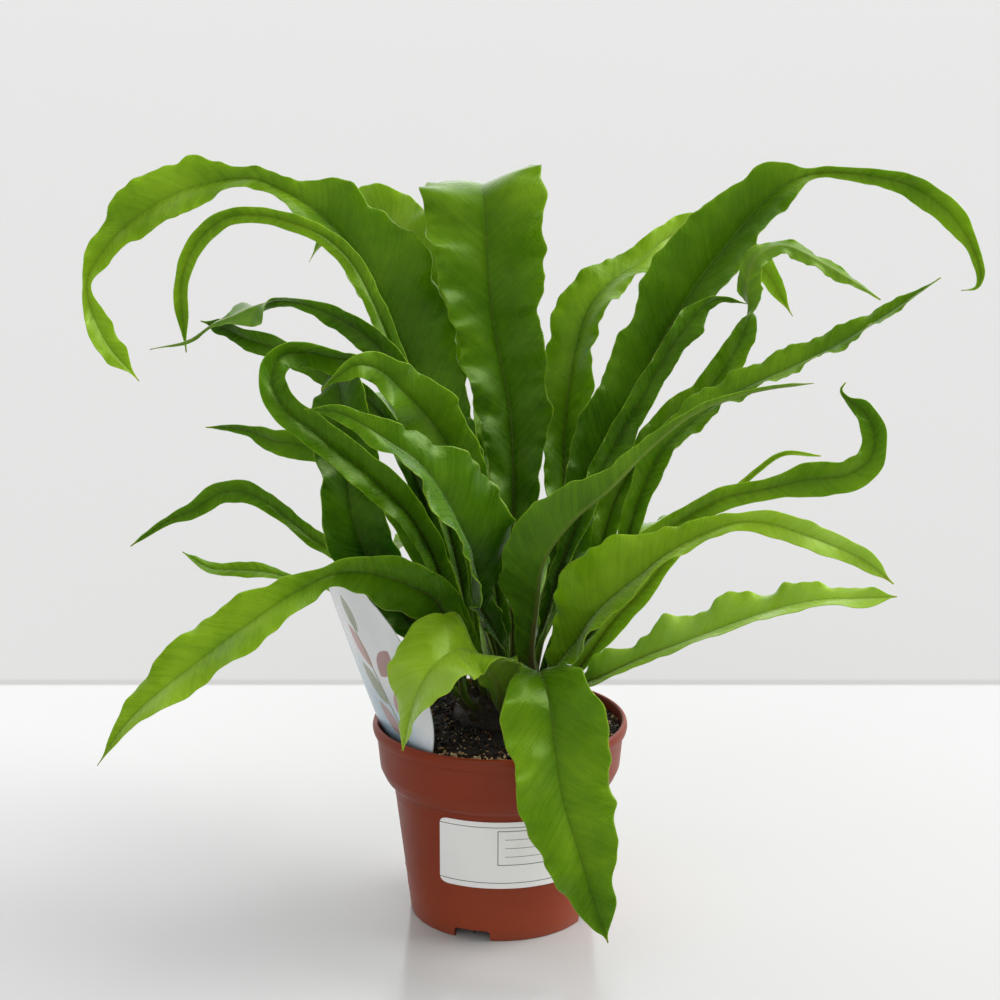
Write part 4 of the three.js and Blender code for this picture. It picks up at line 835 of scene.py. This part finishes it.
def soil_material():
    """Damp peat, nearly black, with brown bark and pale grit picked out by the grains."""
    s = Shader("soil_peat")
    kind, shade, root = s.attribute("grit")
    where = s.place()
    fine = s.noise(where, 1.4, 5.0, 0.65)
    crumbs = s.noise(where, 0.45, 4.0, 0.6)
    peat = s.mix(s.ease(fine, 0.35, 0.7), *PEAT_BROWNS)
    peat = s.mix(s.times(s.ease(crumbs, 0.5, 0.75), 0.5), peat, CRUMB_BROWN)
    colour = loose_colour(s, kind, shade, peat, BARK_BROWNS, GRIT_TANS)
    colour = s.mix(root, colour, s.mix(s.ease(fine, 0.45, 0.6), *ROOT_GREYS))
    rough = s.spread(fine, 0.62, 0.92)
    relief = s.bump(crumbs, 0.6, s.bump(fine, 0.5))
    return s.finish(Base_Color=colour, Roughness=rough, Normal=relief, Specular_IOR_Level=0.25)


def crown_material():
    """Dark fibrous stem with rust brown scales, and a painted shade mixed in by the fibre's
    third value.
    """
    s = Shader("crown_fibre")
    kind, shade, shadow_share = s.attribute("fibre")
    strand = s.drawn_noise(s.place(), 1.6, 0.3)
    stem = s.mix(strand, *STEM_BROWNS)
    colour = loose_colour(s, kind, shade, stem, STUB_BROWNS, SCALE_BROWNS)
    # painted shade, mixed in by the fibre's third value, which every crown piece sets to zero
    colour = s.mix(s.times(shadow_share, 0.5), colour, STEM_SHADOW)
    rough = s.spread(strand, 0.6, 0.9)
    return s.finish(Base_Color=colour, Roughness=rough, Normal=s.bump(strand, 0.4))


def paper_material():
    """White label paper with a thin ruled frame and an empty ruled box."""
    s = Shader("label_paper")
    across, up, _ = s.attribute("sheet")
    where = s.place()
    fibre = s.noise(where, 1.8, 4.0, 0.6)
    stain = s.ease(s.noise(where, 0.07), 0.5, 0.8, 0.0, 0.35)
    ink = ruled_box(s, across, up, *LABEL_BOX)
    for height in LABEL_RULES:
        ink = s.math("MAXIMUM", ink, s.rule(up, height, RULE_HALF))
    for height in LABEL_LINES:
        line = s.times(s.rule(up, height, LINE_HALF), s.within(across, *LABEL_LINE_ENDS))
        ink = s.math("MAXIMUM", ink, line)
    colour = s.coats(
        s.mix(fibre, *PAPER_WHITES),
        (stain, PAPER_STAIN),
        (s.times(ink, s.ease(fibre, 0.25, 0.45, 0.82, 0.97)), INK),
    )
    rough = s.spread(fibre, 0.42, 0.56)
    return s.finish(Base_Color=colour, Roughness=rough, Normal=s.bump(fibre, 0.03))


def ruled_box(s, across, up, sides, heights):
    """A thin ruled frame between two sides and two heights."""
    (left, right), (low, high) = sides, heights
    upright = s.math("MAXIMUM", s.rule(across, left, BOX_HALF), s.rule(across, right, BOX_HALF))
    level = s.math("MAXIMUM", s.rule(up, low, BOX_HALF), s.rule(up, high, BOX_HALF))
    upright = s.times(upright, s.within(up, low - BOX_HALF, high + BOX_HALF))
    level = s.times(level, s.within(across, left - BOX_HALF, right + BOX_HALF))
    return s.math("MAXIMUM", upright, level)


def tag_material():
    """Glossy pale plastic with a generic print: a pale blue wash and a sprig of leaves."""
    s = Shader("tag_plastic")
    across, up, face = s.attribute("sheet")
    where = s.place()
    soft = s.noise(where, 0.06, 2.0)
    grain = s.noise(where, 1.5)
    slope = s.vary(s.math("MULTIPLY_ADD", across, 0.8, up), (soft, 24.0))
    print_share = s.ease(grain, 0.2, 0.8, 0.75, 1.0)
    stem = s.rule(s.math("MULTIPLY_ADD", up, STEM_SLANT, across), STEM_ACROSS, STEM_HALF)
    colour = s.coats(
        s.mix(soft, *TAG_WHITES),
        (s.times(s.ease(slope, 0.0, 38.0, 1.0, 0.0), 0.8), TAG_BLUE),
        # darker from a little above the rim's level down the stake
        (s.times(s.ease(s.vary(up, (soft, 12.0)), -8.0, 2.0, 1.0, 0.0), 0.85), TAG_DARK_FOOT),
        *[(s.times(leaf_mark(s, across, up, *leaf), print_share), tint) for *leaf, tint in SPRIG],
        (s.times(stem, s.within(up, *STEM_SPAN)), TAG_STEM),
        (s.ease(face, -0.3, 0.3, 1.0, 0.0), TAG_BACK),
    )
    rough = s.spread(grain, 0.20, 0.28)
    return s.finish(Base_Color=colour, Roughness=rough, Normal=s.bump(grain, 0.02))


def leaf_mark(s, across, up, middle_across, middle_up, length, width, turn):
    """One inside a pointed leaf: the common part of two circles."""
    cos, sin = math.cos(math.radians(turn)), math.sin(math.radians(turn))
    x, y = s.minus(across, middle_across), s.minus(up, middle_up)
    along = s.math("MULTIPLY_ADD", x, cos, s.times(y, sin))
    aside = s.math("ABSOLUTE", s.math("MULTIPLY_ADD", y, cos, s.times(x, -sin)))
    radius = (length ** 2 + width ** 2) / (4 * width)
    far = s.plus(aside, radius - width / 2)
    distance = s.math("SQRT", s.math("MULTIPLY_ADD", along, along, s.times(far, far)))
    return s.ease(distance, radius - 0.3, radius + 0.1, 1.0, 0.0)


def stage_material():
    """A glossy pale table that ends behind the pot, a pale matt backdrop past it, and a
    painted shadow line where the two meet.
    """
    s = Shader("stage_white")
    where = s.place()
    y = s.split(where)[1]
    past = s.ease(y, TABLE_EDGE - 1.5, TABLE_EDGE + 1.5)
    # a painted shadow line along the table's edge, where it meets the backdrop
    line = s.ease(s.math("ABSOLUTE", s.minus(y, TABLE_EDGE + 4)), 2.0, 9.0, 1.0, 0.0)
    colour = s.coats(
        s.mix(s.noise(where, 0.004, 2.0), *TABLE_WHITES),
        (past, BACKDROP),
        (s.times(line, 0.6), EDGE_SHADOW),
    )
    return s.finish(Base_Color=colour, Roughness=s.ease(past, 0.0, 1.0, 0.16, 1.0))


# Pieces

def sheet_piece(name, rows, columns, place, node, material):
    """A thin sheet whose rows are heights and half widths. place gives the point at a place
    across and up on the outer face, 1, or on the inner face, -1."""
    heights, halves = np.array(rows).T[..., None]
    across = halves * np.linspace(-1, 1, columns)
    up = np.broadcast_to(heights, across.shape)
    outer, middle, inner = (place(across, up, face) for face in (1, 0, -1))
    rings, faces = ribbon(outer, inner, middle[:, 0], middle[:, -1])
    marks = [np.stack((across, up, np.full(across.shape, face)), axis=-1) for face in (1.0, -1.0)]
    marks, _ = ribbon(*marks, marks[0][:, 0], marks[0][:, -1])
    points, marks = rings.reshape(-1, 3), marks.reshape(-1, 3)
    dress(mesh_object(name, points, faces, material, SHEET_SHARP, sheet=marks), node)


def wall_radius(z):
    return FOOT_RADIUS + (SHOULDER_RADIUS - FOOT_RADIUS) * (z / SHOULDER_Z)


def label_piece():
    rows = []
    for up in np.linspace(-1, 1, LABEL_ROWS) * LABEL_HEIGHT / 2:
        corner = max(0.0, abs(up) - (LABEL_HEIGHT / 2 - LABEL_CORNER))
        half = LABEL_WIDTH / 2 - LABEL_CORNER + math.sqrt(LABEL_CORNER ** 2 - corner ** 2)
        rows.append((up, half))
    turn = math.radians(LABEL_TURN)

    def place(across, up, face):
        z = LABEL_Z + LABEL_HEIGHT / 2 + up
        radius = wall_radius(z) + LABEL_GAP + LABEL_THICKNESS * (1 + face) / 2
        y = -np.sqrt(radius ** 2 - across ** 2)
        x = across * math.cos(turn) - y * math.sin(turn)
        return np.stack((x, across * math.sin(turn) + y * math.cos(turn), z), axis=-1)

    sheet_piece("label_sheet", rows, LABEL_COLUMNS, place, "label", paper_material())


def tag_piece():
    neck_turn = math.pi * TAG_NECK
    neck_half = TAG_HALF_WIDTH * math.sin(neck_turn)
    neck_z = TAG_CENTRE - TAG_HALF_HEIGHT * math.cos(neck_turn)
    rows = [TAG_POINT]
    for t in np.linspace(0, 1, TAG_STAKE_ROWS)[:-1]:
        half = TAG_STAKE_HALF + (neck_half - TAG_STAKE_HALF) * t
        rows.append((TAG_STAKE + (neck_z - TAG_STAKE) * t, half))
    for t in np.linspace(0, 1, TAG_ROWS):
        turn = neck_turn + (math.pi - neck_turn) * t
        half = max(TAG_HALF_WIDTH * math.sin(turn), TAG_TOP_HALF)
        rows.append((TAG_CENTRE - TAG_HALF_HEIGHT * math.cos(turn), half))
    out, along = polar(1, TAG_AZIMUTH), polar(1, TAG_AZIMUTH + 90)
    lean = math.radians(TAG_LEAN)
    rise = polar(math.sin(lean), TAG_AZIMUTH, math.cos(lean))
    heart = polar(TAG_SEAT_RADIUS - TAG_BEND, TAG_AZIMUTH, RIM_Z)

    def place(across, up, face):
        radius = TAG_BEND + face * TAG_THICKNESS / 2
        angle = (across / TAG_BEND)[..., None]
        bent = out * np.cos(angle) + along * np.sin(angle)
        return heart + rise * up[..., None] + radius * bent

    sheet_piece("tag_sheet", rows, TAG_COLUMNS, place, "care_tag", tag_material())


def pot_profile():
    """The pot's section: outside from the middle of the floor to the lip, then inside."""
    wall = []
    for z in MOULD_RINGS:
        for lift, rise in ((-MOULD_HALF, 0), (0, MOULD_RISE), (MOULD_HALF, 0)):
            wall.append((wall_radius(z + lift) + rise, z + lift))
    upper = [
        (SHOULDER_RADIUS, SHOULDER_Z), (LEDGE_RADIUS, LEDGE_Z),
        (BAND_FOOT_RADIUS, BAND_FOOT_Z), (BAND_RADIUS, LIP_Z),
    ]
    inside = [(radius - POT_WALL, z) for radius, z in reversed(upper)]
    inside.append((wall_radius(FLOOR_Z + POT_WALL) - POT_WALL, FLOOR_Z + POT_WALL))
    floor = [(FLOOR_HEART, 0), (PAD_RADIUS, 0), (PAD_RADIUS + FLOOR_Z, FLOOR_Z)]
    ring = FOOT_RADIUS - FOOT_RING
    return rounded([
        *floor, (ring, FLOOR_Z), (ring, 0), (FOOT_RADIUS, 0), *wall, *upper,
        *[(RIM_RADIUS - inwards, z) for inwards, z in LIP],
        *inside, *[(radius, z + POT_WALL) for radius, z in reversed(floor)],
    ])


def cutter(add, radius, turn, z):
    """A shape that is cut out of the pot: add makes it, and it is then put in place."""
    add()
    shape = bpy.context.object
    shape.location = polar(radius, turn, z) * MM
    shape.rotation_euler = (0, 0, math.radians(turn))
    return shape


def add_notch():
    bpy.ops.mesh.primitive_cube_add(size=1)
    shape = bpy.context.object
    shape.scale = np.array((NOTCH_LENGTH, NOTCH_WIDTH, 2 * NOTCH_HEIGHT)) * MM
    bpy.ops.object.transform_apply(location=False, rotation=False, scale=True)
    bevel = shape.modifiers.new("corners", "BEVEL")
    bevel.width = NOTCH_CORNER * MM
    bevel.segments = 4


def add_drain():
    depth = 4 * POT_WALL * MM
    bpy.ops.mesh.primitive_cylinder_add(
        radius=DRAIN_RADIUS * MM, depth=depth, vertices=DRAIN_SEGMENTS,
    )


def pot_piece():
    points, faces = lathe(pot_profile(), POT_SEGMENTS)
    rough = mesh_object("pot_rough", points, faces, pot_material())
    cutters = []
    for turn in NOTCH_TURNS:
        cutters.append(cutter(add_notch, FOOT_RADIUS, turn, 0))
        cutters.append(cutter(add_drain, DRAIN_CIRCLE, turn, FLOOR_Z + POT_WALL / 2))
    for shape in cutters:
        cut = rough.modifiers.new("cut", "BOOLEAN")
        cut.operation = "DIFFERENCE"
        cut.solver = "MANIFOLD"
        cut.object = shape
    bpy.context.view_layer.update()
    whole = rough.evaluated_get(bpy.context.evaluated_depsgraph_get())
    mesh = bpy.data.meshes.new_from_object(whole)
    mesh.name = "pot_shell"
    mesh.set_sharp_from_angle(angle=math.radians(POT_SHARP))
    for shape in (rough, *cutters):
        bpy.data.objects.remove(shape)
    dress(scene_object("pot_shell", mesh), "pot")


def soil_height(x, y):
    inwards = 1 - math.hypot(x, y) / (BAND_RADIUS - POT_WALL - SOIL_GAP)
    z = SOIL_EDGE_Z + SOIL_RISE * math.sin(max(inwards, 0) * math.pi / 2)
    for height, along, across in CLODS:
        wave = math.cos(across[0] * x + across[1] * y)
        z += height * math.sin(along[0] * x + along[1] * y) * wave
    for turns, height in CRUMB_SCALES:
        z += height * noise.noise((x * turns, y * turns, 0.5))
    return z


ICO_GOLD = (1 + math.sqrt(5)) / 2
ICO_POINTS = unit(np.array([
    np.roll((short, long, 0), turn)
    for turn in range(3) for long in (ICO_GOLD, -ICO_GOLD) for short in (-1, 1)
]))
ICO_FACES = (
    (0, 11, 5), (0, 5, 1), (0, 1, 7), (0, 7, 10), (0, 10, 11), (1, 5, 9), (5, 11, 4),
    (11, 10, 2), (10, 7, 6), (7, 1, 8), (3, 9, 4), (3, 4, 2), (3, 2, 6), (3, 6, 8),
    (3, 8, 9), (4, 9, 5), (2, 4, 11), (6, 2, 10), (8, 6, 7), (9, 8, 1),
)


class Heap:
    """Gathers small closed shapes, with a vector for their material, into one mesh."""

    def __init__(self):
        self.points, self.faces, self.marks, self.count = [], [], [], 0

    def add(self, points, faces, mark):
        self.points.append(points)
        self.faces += [tuple(self.count + i for i in face) for face in faces]
        self.marks.append(np.broadcast_to(np.asarray(mark, float), (len(points), 3)))
        self.count += len(points)

    def piece(self, name, node, material, key):
        points, marks = np.concatenate(self.points), np.concatenate(self.marks)
        piece = mesh_object(name, points, self.faces, material, LOOSE_SHARP, **{key: marks})
        dress(piece, node)


def random_way(draw):
    return unit(np.array([draw.gauss(0, 1) for _ in range(3)]))


def turned_frame(draw):
    """Three random unit axes at right angles."""
    first = random_way(draw)
    second = unit(np.cross(first, random_way(draw)))
    return np.array((first, second, np.cross(first, second)))


def add_grain(heap, draw, x, y, lift, size, kind, axes):
    """An uneven crumb on the soil, turned at random, with half sizes on three axes."""
    middle = np.array((x, y, soil_height(x, y) + lift * size))
    bumps = np.array([draw.uniform(*GRAIN_BUMPS) for _ in ICO_POINTS])[:, None]
    points = middle + (ICO_POINTS * bumps * (np.array(axes) * size)) @ turned_frame(draw)
    heap.add(points, ICO_FACES, (kind, draw.random(), 0))


def soil_piece():
    draw = random.Random(SOIL_SEED)
    inset = POT_WALL + SOIL_GAP
    edge = BAND_RADIUS - inset
    profile = [
        (FLOOR_HEART, inset), (PAD_RADIUS, inset), (PAD_RADIUS + FLOOR_Z, FLOOR_Z + inset),
        (wall_radius(FLOOR_Z + inset) - inset, FLOOR_Z + inset),
        (SHOULDER_RADIUS - inset, SHOULDER_Z), (LEDGE_RADIUS - inset, LEDGE_Z),
        (BAND_FOOT_RADIUS - inset, BAND_FOOT_Z), (edge, SOIL_EDGE_Z - 2),
    ]
    below = len(profile)
    profile += [(edge * (1 - ring / SOIL_RINGS), SOIL_EDGE_Z) for ring in range(SOIL_RINGS)]
    points, faces = lathe(profile, SOIL_SEGMENTS)
    for point in points[below * SOIL_SEGMENTS:]:
        point[2] = soil_height(point[0], point[1])
    heap = Heap()
    heap.add(points, faces, (CRUMB, 0, 0))
    for _ in range(GRAINS):
        radius = edge * math.sqrt(draw.uniform(*GRAIN_SPREAD))
        angle = draw.uniform(-math.pi, math.pi)
        x, y = radius * math.cos(angle), radius * math.sin(angle)
        chance = draw.random()
        size = GRAIN_LEAST + GRAIN_MORE * draw.random() ** 2
        kind, axes = next(row[1:] for row in GRAIN_KINDS if chance < row[0])
        add_grain(heap, draw, x, y, GRAIN_LIFT, size, kind, axes)
    for kind, count, radii, azimuths, sizes in SOIL_SPOTS:
        for _ in range(count):
            x, y, _ = polar(draw.uniform(*radii), draw.uniform(*azimuths))
            add_grain(heap, draw, x, y, SPOT_LIFT, draw.uniform(*sizes), kind, SPOT_AXES)
    for path in ROOTS:
        path = curve_through(path, ROOT_SAMPLES)
        radii = ROOT_RADIUS * np.linspace(*ROOT_TAPER, len(path))
        wiggle = ROOT_WIGGLE * np.sin(np.arange(len(path)) * 0.9)[:, None]
        heap.add(*tube(path + wiggle * np.array((1, 0.3, 0)), radii), (CRUMB, 0.5, 1))
    heap.piece("soil_bed", "soil", soil_material(), "grit")


def crown_height(radius):
    return CROWN_SIDE_Z + CROWN_DOME * math.sqrt(1 - (radius / CROWN_RADIUS) ** 2)


def crown_place(radius, azimuth, sink=0):
    return CROWN_CENTRE + polar(radius, azimuth, crown_height(radius) - sink)


def crown_piece():
    draw = random.Random(CROWN_SEED)
    profile = [(CROWN_RADIUS, CROWN_FOOT_Z), (CROWN_RADIUS, CROWN_SIDE_Z)]
    below = len(profile)
    for turn in DOME_TURNS:
        radius = CROWN_RADIUS * math.cos(turn)
        profile.append((radius, crown_height(radius)))
    points, faces = lathe(profile, CROWN_SEGMENTS)
    for point in points[below * CROWN_SEGMENTS:]:
        point[2] += sum(h * noise.noise(tuple(point * turns)) for turns, h in CROWN_LUMPS)
    heap = Heap()
    heap.add(points + CROWN_CENTRE, faces, (0, 0, 0))
    for _ in range(CROWN_STUBS):
        radius, azimuth = draw.uniform(*STUB_REACH), draw.uniform(0, 360)
        foot = crown_place(radius, azimuth, STUB_SINK)
        lean = math.radians(radius * STUB_LEAN + draw.uniform(-8, 8))
        way = polar(math.sin(lean), azimuth, math.cos(lean))
        length = draw.uniform(*STUB_LENGTHS)
        path = foot + way * np.linspace(0, length, len(STUB_RADII))[:, None]
        radii = STUB_RADII * draw.uniform(0.7, 1.1)
        heap.add(*tube(path, radii, STUB_SIDES), (0.5, draw.random(), 0))
    for _ in range(CROWN_SCALES):
        radius = CROWN_RADIUS * math.sqrt(draw.uniform(*SCALE_SPREAD))
        azimuth = draw.uniform(0, 360)
        foot = crown_place(radius, azimuth, SCALE_SINK)
        lean = math.radians(radius * SCALE_LEAN + draw.uniform(-25, 35))
        way = polar(math.sin(lean), azimuth + draw.uniform(-30, 30), math.cos(lean))
        aside = unit(np.cross(way, polar(1, azimuth + draw.uniform(40, 140))))
        aside = aside * draw.uniform(*SCALE_HALVES)
        other = np.cross(way, aside) * 0.5
        low = foot - aside * 0.5
        end = foot + way * draw.uniform(*SCALE_LENGTHS)
        spike = np.array((foot + aside, low + other, low - other, end))
        heap.add(spike, ((0, 2, 1), (0, 1, 3), (1, 2, 3), (2, 0, 3)), (1, draw.random(), 0))
    heap.piece("crown_stem", "crown", crown_material(), "fibre")


def curve_through(points, samples):
    """A centripetal Catmull-Rom curve through the points."""
    p = np.array(points, float)
    p = np.vstack((2 * p[0] - p[1], p, 2 * p[-1] - p[-2]))
    t = np.linspace(0, 1, samples, endpoint=False)[:, None]
    pieces = []
    for before, start, end, after in zip(p, p[1:], p[2:], p[3:]):
        spans = (start - before, end - start, after - end)
        first, middle, last = (np.linalg.norm(span) ** 0.5 for span in spans)
        chord = (end - start) / middle
        leave = (start - before) / first - (end - before) / (first + middle) + chord
        arrive = chord - (after - start) / (middle + last) + (after - end) / last
        leave, arrive = leave * middle, arrive * middle
        pieces.append(
            start + leave * t + (3 * (end - start) - 2 * leave - arrive) * t ** 2
            + (2 * (start - end) + leave + arrive) * t ** 3
        )
    return np.vstack((*pieces, p[-2]))


def frames_of(frond):
    """Even steps along the rib: share, way from the foot, point, side and upper face."""
    radius, lean = RINGS[frond.ring]
    lean = math.radians(lean)
    way = polar(math.sin(lean), frond.azimuth, math.cos(lean))
    mouth = crown_place(radius, frond.azimuth)
    root = (mouth - way * ROOT_SINK, mouth, mouth + way * ROOT_RISE)
    fine = curve_through((*root, *frond.rib), RIB_SAMPLES)
    travelled = np.concatenate(((0,), np.cumsum(np.linalg.norm(np.diff(fine, axis=0), axis=1))))
    length = travelled[-1]
    steps = round(length / STEP / STEPS_PER_STATION) * STEPS_PER_STATION
    share = np.linspace(0, 1, steps + 1)
    along = share * length
    points = np.stack([np.interp(along, travelled, line) for line in fine.T], axis=1)
    tangents = unit(np.gradient(points, axis=0))
    side = polar(1, frond.azimuth + 90)
    sides = []
    for tangent in tangents:
        side = unit(side - tangent * np.dot(side, tangent))
        sides.append(side)
    sides = np.array(sides)
    roll = np.radians(eased(frond.roll, share))[:, None]
    turned = sides * np.cos(roll) + np.cross(tangents, sides) * np.sin(roll)
    return share, along, points, turned, np.cross(tangents, turned)


def sines(draw, along, parts):
    """A slow uneven wave along the blade: heights and wave lengths with random starts."""
    total = 0
    for height, length in parts:
        total = total + height * np.sin(2 * math.pi * along / length + draw.uniform(0, 7))
    return total


def frond_piece(frond, seed, material):
    draw = random.Random(seed)
    share, along, points, side, face = frames_of(frond)
    *wave_heights, wave_length = frond.waves
    half = eased({0: BASE_WIDTH, **frond.width, 100: TIP_WIDTH}, share) / 2
    fold = np.radians(eased(frond.fold, share))
    rise = smooth(share / WAVE_START) * np.minimum(1, half / WAVED_HALF)
    slim = TIP_SLIM + (1 - TIP_SLIM) * smooth((1 - share) / TIP_SHARE)
    half = half * slim
    free = smooth(share / FREE_FOOT) * smooth((1 - share) / FREE_TIP)
    wander = free * sines(draw, along, WANDER)
    margins = {}
    for hand, height in zip((-1, 1), wave_heights):
        outline = 1 + free * sines(draw, along, OUTLINE)
        swell = SWELL_MIDDLE + sines(draw, along, SWELL)
        ruffle = min(RUFFLE_SHARE, RUFFLE_MOST / max(height, RUFFLE_MOST))
        ruffle = ruffle * sines(draw, along, [(part, beat * wave_length) for part, beat in RUFFLES])
        margins[hand] = outline, swell, ruffle, height
    columns = []
    for place in PLACES:
        hand, reach = -1 if place < 0 else 1, abs(place)
        outline, swell, ruffle, height = margins[hand]
        turns = (along + wander + SLANT * half * (1 - reach)) / wave_length
        phase = 2 * math.pi * turns + hand * WAVE_LAG
        lift = half * (np.sin(fold) * reach + BULGE * math.sin(math.pi * reach))
        wave = swell * reach ** WAVE_POWER * np.sin(phase) + ruffle * reach ** RUFFLE_POWER
        lift = lift + height * rise * wave
        across = place * half * outline * np.cos(fold)
        columns.append(points + side * across[:, None] + face * lift[:, None])
    top = np.stack(columns, axis=1)
    normal = unit(np.cross(np.gradient(top, axis=0), np.gradient(top, axis=1)))
    places = np.array(PLACES)[None]
    from_rib = places * half[:, None]
    keel = (KEEL * (1 - share) ** KEEL_TAPER)[:, None] * np.exp(-((from_rib / KEEL_HALF) ** 2))
    thick = BLADE_MARGIN + (BLADE_MIDDLE - BLADE_MARGIN) * (1 - places ** 2)
    thick = (thick + keel) * slim[:, None]
    groove = GROOVE * (1 - share[:, None]) * np.exp(-((from_rib / GROOVE_HALF) ** 2))
    bottom = top - normal * thick[..., None]
    top = top - normal * groove[..., None]
    ends = []
    for edge, inner in ((0, 1), (-1, -2)):
        outwards = unit(top[:, edge] - top[:, inner]) * MARGIN_ROUND
        ends.append((top[:, edge] + bottom[:, edge]) / 2 + outwards)
    rings, faces = ribbon(top, bottom, *ends)

    def marks(above, below):
        return ribbon(above, below, above[:, 0], above[:, -1])[0].reshape(-1, 3)

    def grid(*parts):
        return np.stack(np.broadcast_arrays(*parts), axis=-1)

    # The tone from foot to tip is partly painted light: painted shade on fronds in shade, painted
    # sheen on lit ends.
    foot_tone_and_light, tip_tone_and_light = frond.tone
    tone = foot_tone_and_light + (tip_tone_and_light - foot_tone_and_light) * smooth(share)
    blade = grid(from_rib, along[:, None], share[:, None])
    above, below = (grid(tone[:, None], float(under), np.abs(places)) for under in (0, 1))
    leaf = mesh_object(
        "leaf_" + frond.name, rings.reshape(-1, 3), faces, material,
        blade=marks(blade, blade), tone=marks(above, below),
    )
    dress(leaf, "frond_" + frond.name)


# Stage, light and camera

def stage():
    mesh = bpy.data.meshes.new("table")
    h = STAGE_HALF * MM
    mesh.from_pydata([(-h, -h, 0), (h, -h, 0), (h, h, 0), (-h, h, 0)], [], [(0, 1, 2, 3)])
    mesh.materials.append(stage_material())
    table = scene_object("table", mesh)


def lights():
    """The suns, and a sky that grows brighter towards the low back."""
    for name, (azimuth, height, strength, angle, colour) in SUNS.items():
        data = bpy.data.lights.new(name, "SUN")
        data.energy, data.angle, data.color = strength, math.radians(angle), colour
        turn = (math.radians(90 - height), 0, math.radians(azimuth + 90))
        scene_object(name, data).rotation_euler = turn
    s = Shader("studio", "worlds")
    rise = s.node("VectorMath", [("operation", "DOT_PRODUCT")])
    s.fill(rise, s.node("TexCoord").outputs["Generated"], SKY_WAY)
    strength = s.ease(rise.outputs["Value"], *SKY_SPAN, *SKY_STRENGTHS)
    world = s.finish("Background", "OutputWorld", Color=SKY_COLOUR, Strength=strength)
    bpy.context.scene.world = world


def camera():
    data = bpy.data.cameras.new("camera")
    data.lens, data.sensor_width = CAMERA_LENS, SENSOR
    eye = scene_object("camera", data)
    eye.location = np.array(CAMERA_PLACE) * MM
    eye.rotation_euler = (math.radians(90 - CAMERA_DOWN), 0, 0)
    bpy.context.scene.camera = eye


camera()
stage()
lights()
pot_piece()
label_piece()
soil_piece()
tag_piece()
crown_piece()
skin = frond_material()
for number, frond in enumerate(FRONDS):
    frond_piece(frond, FROND_SEED + number, skin)
bpy.context.scene.view_settings.view_transform = "Standard"
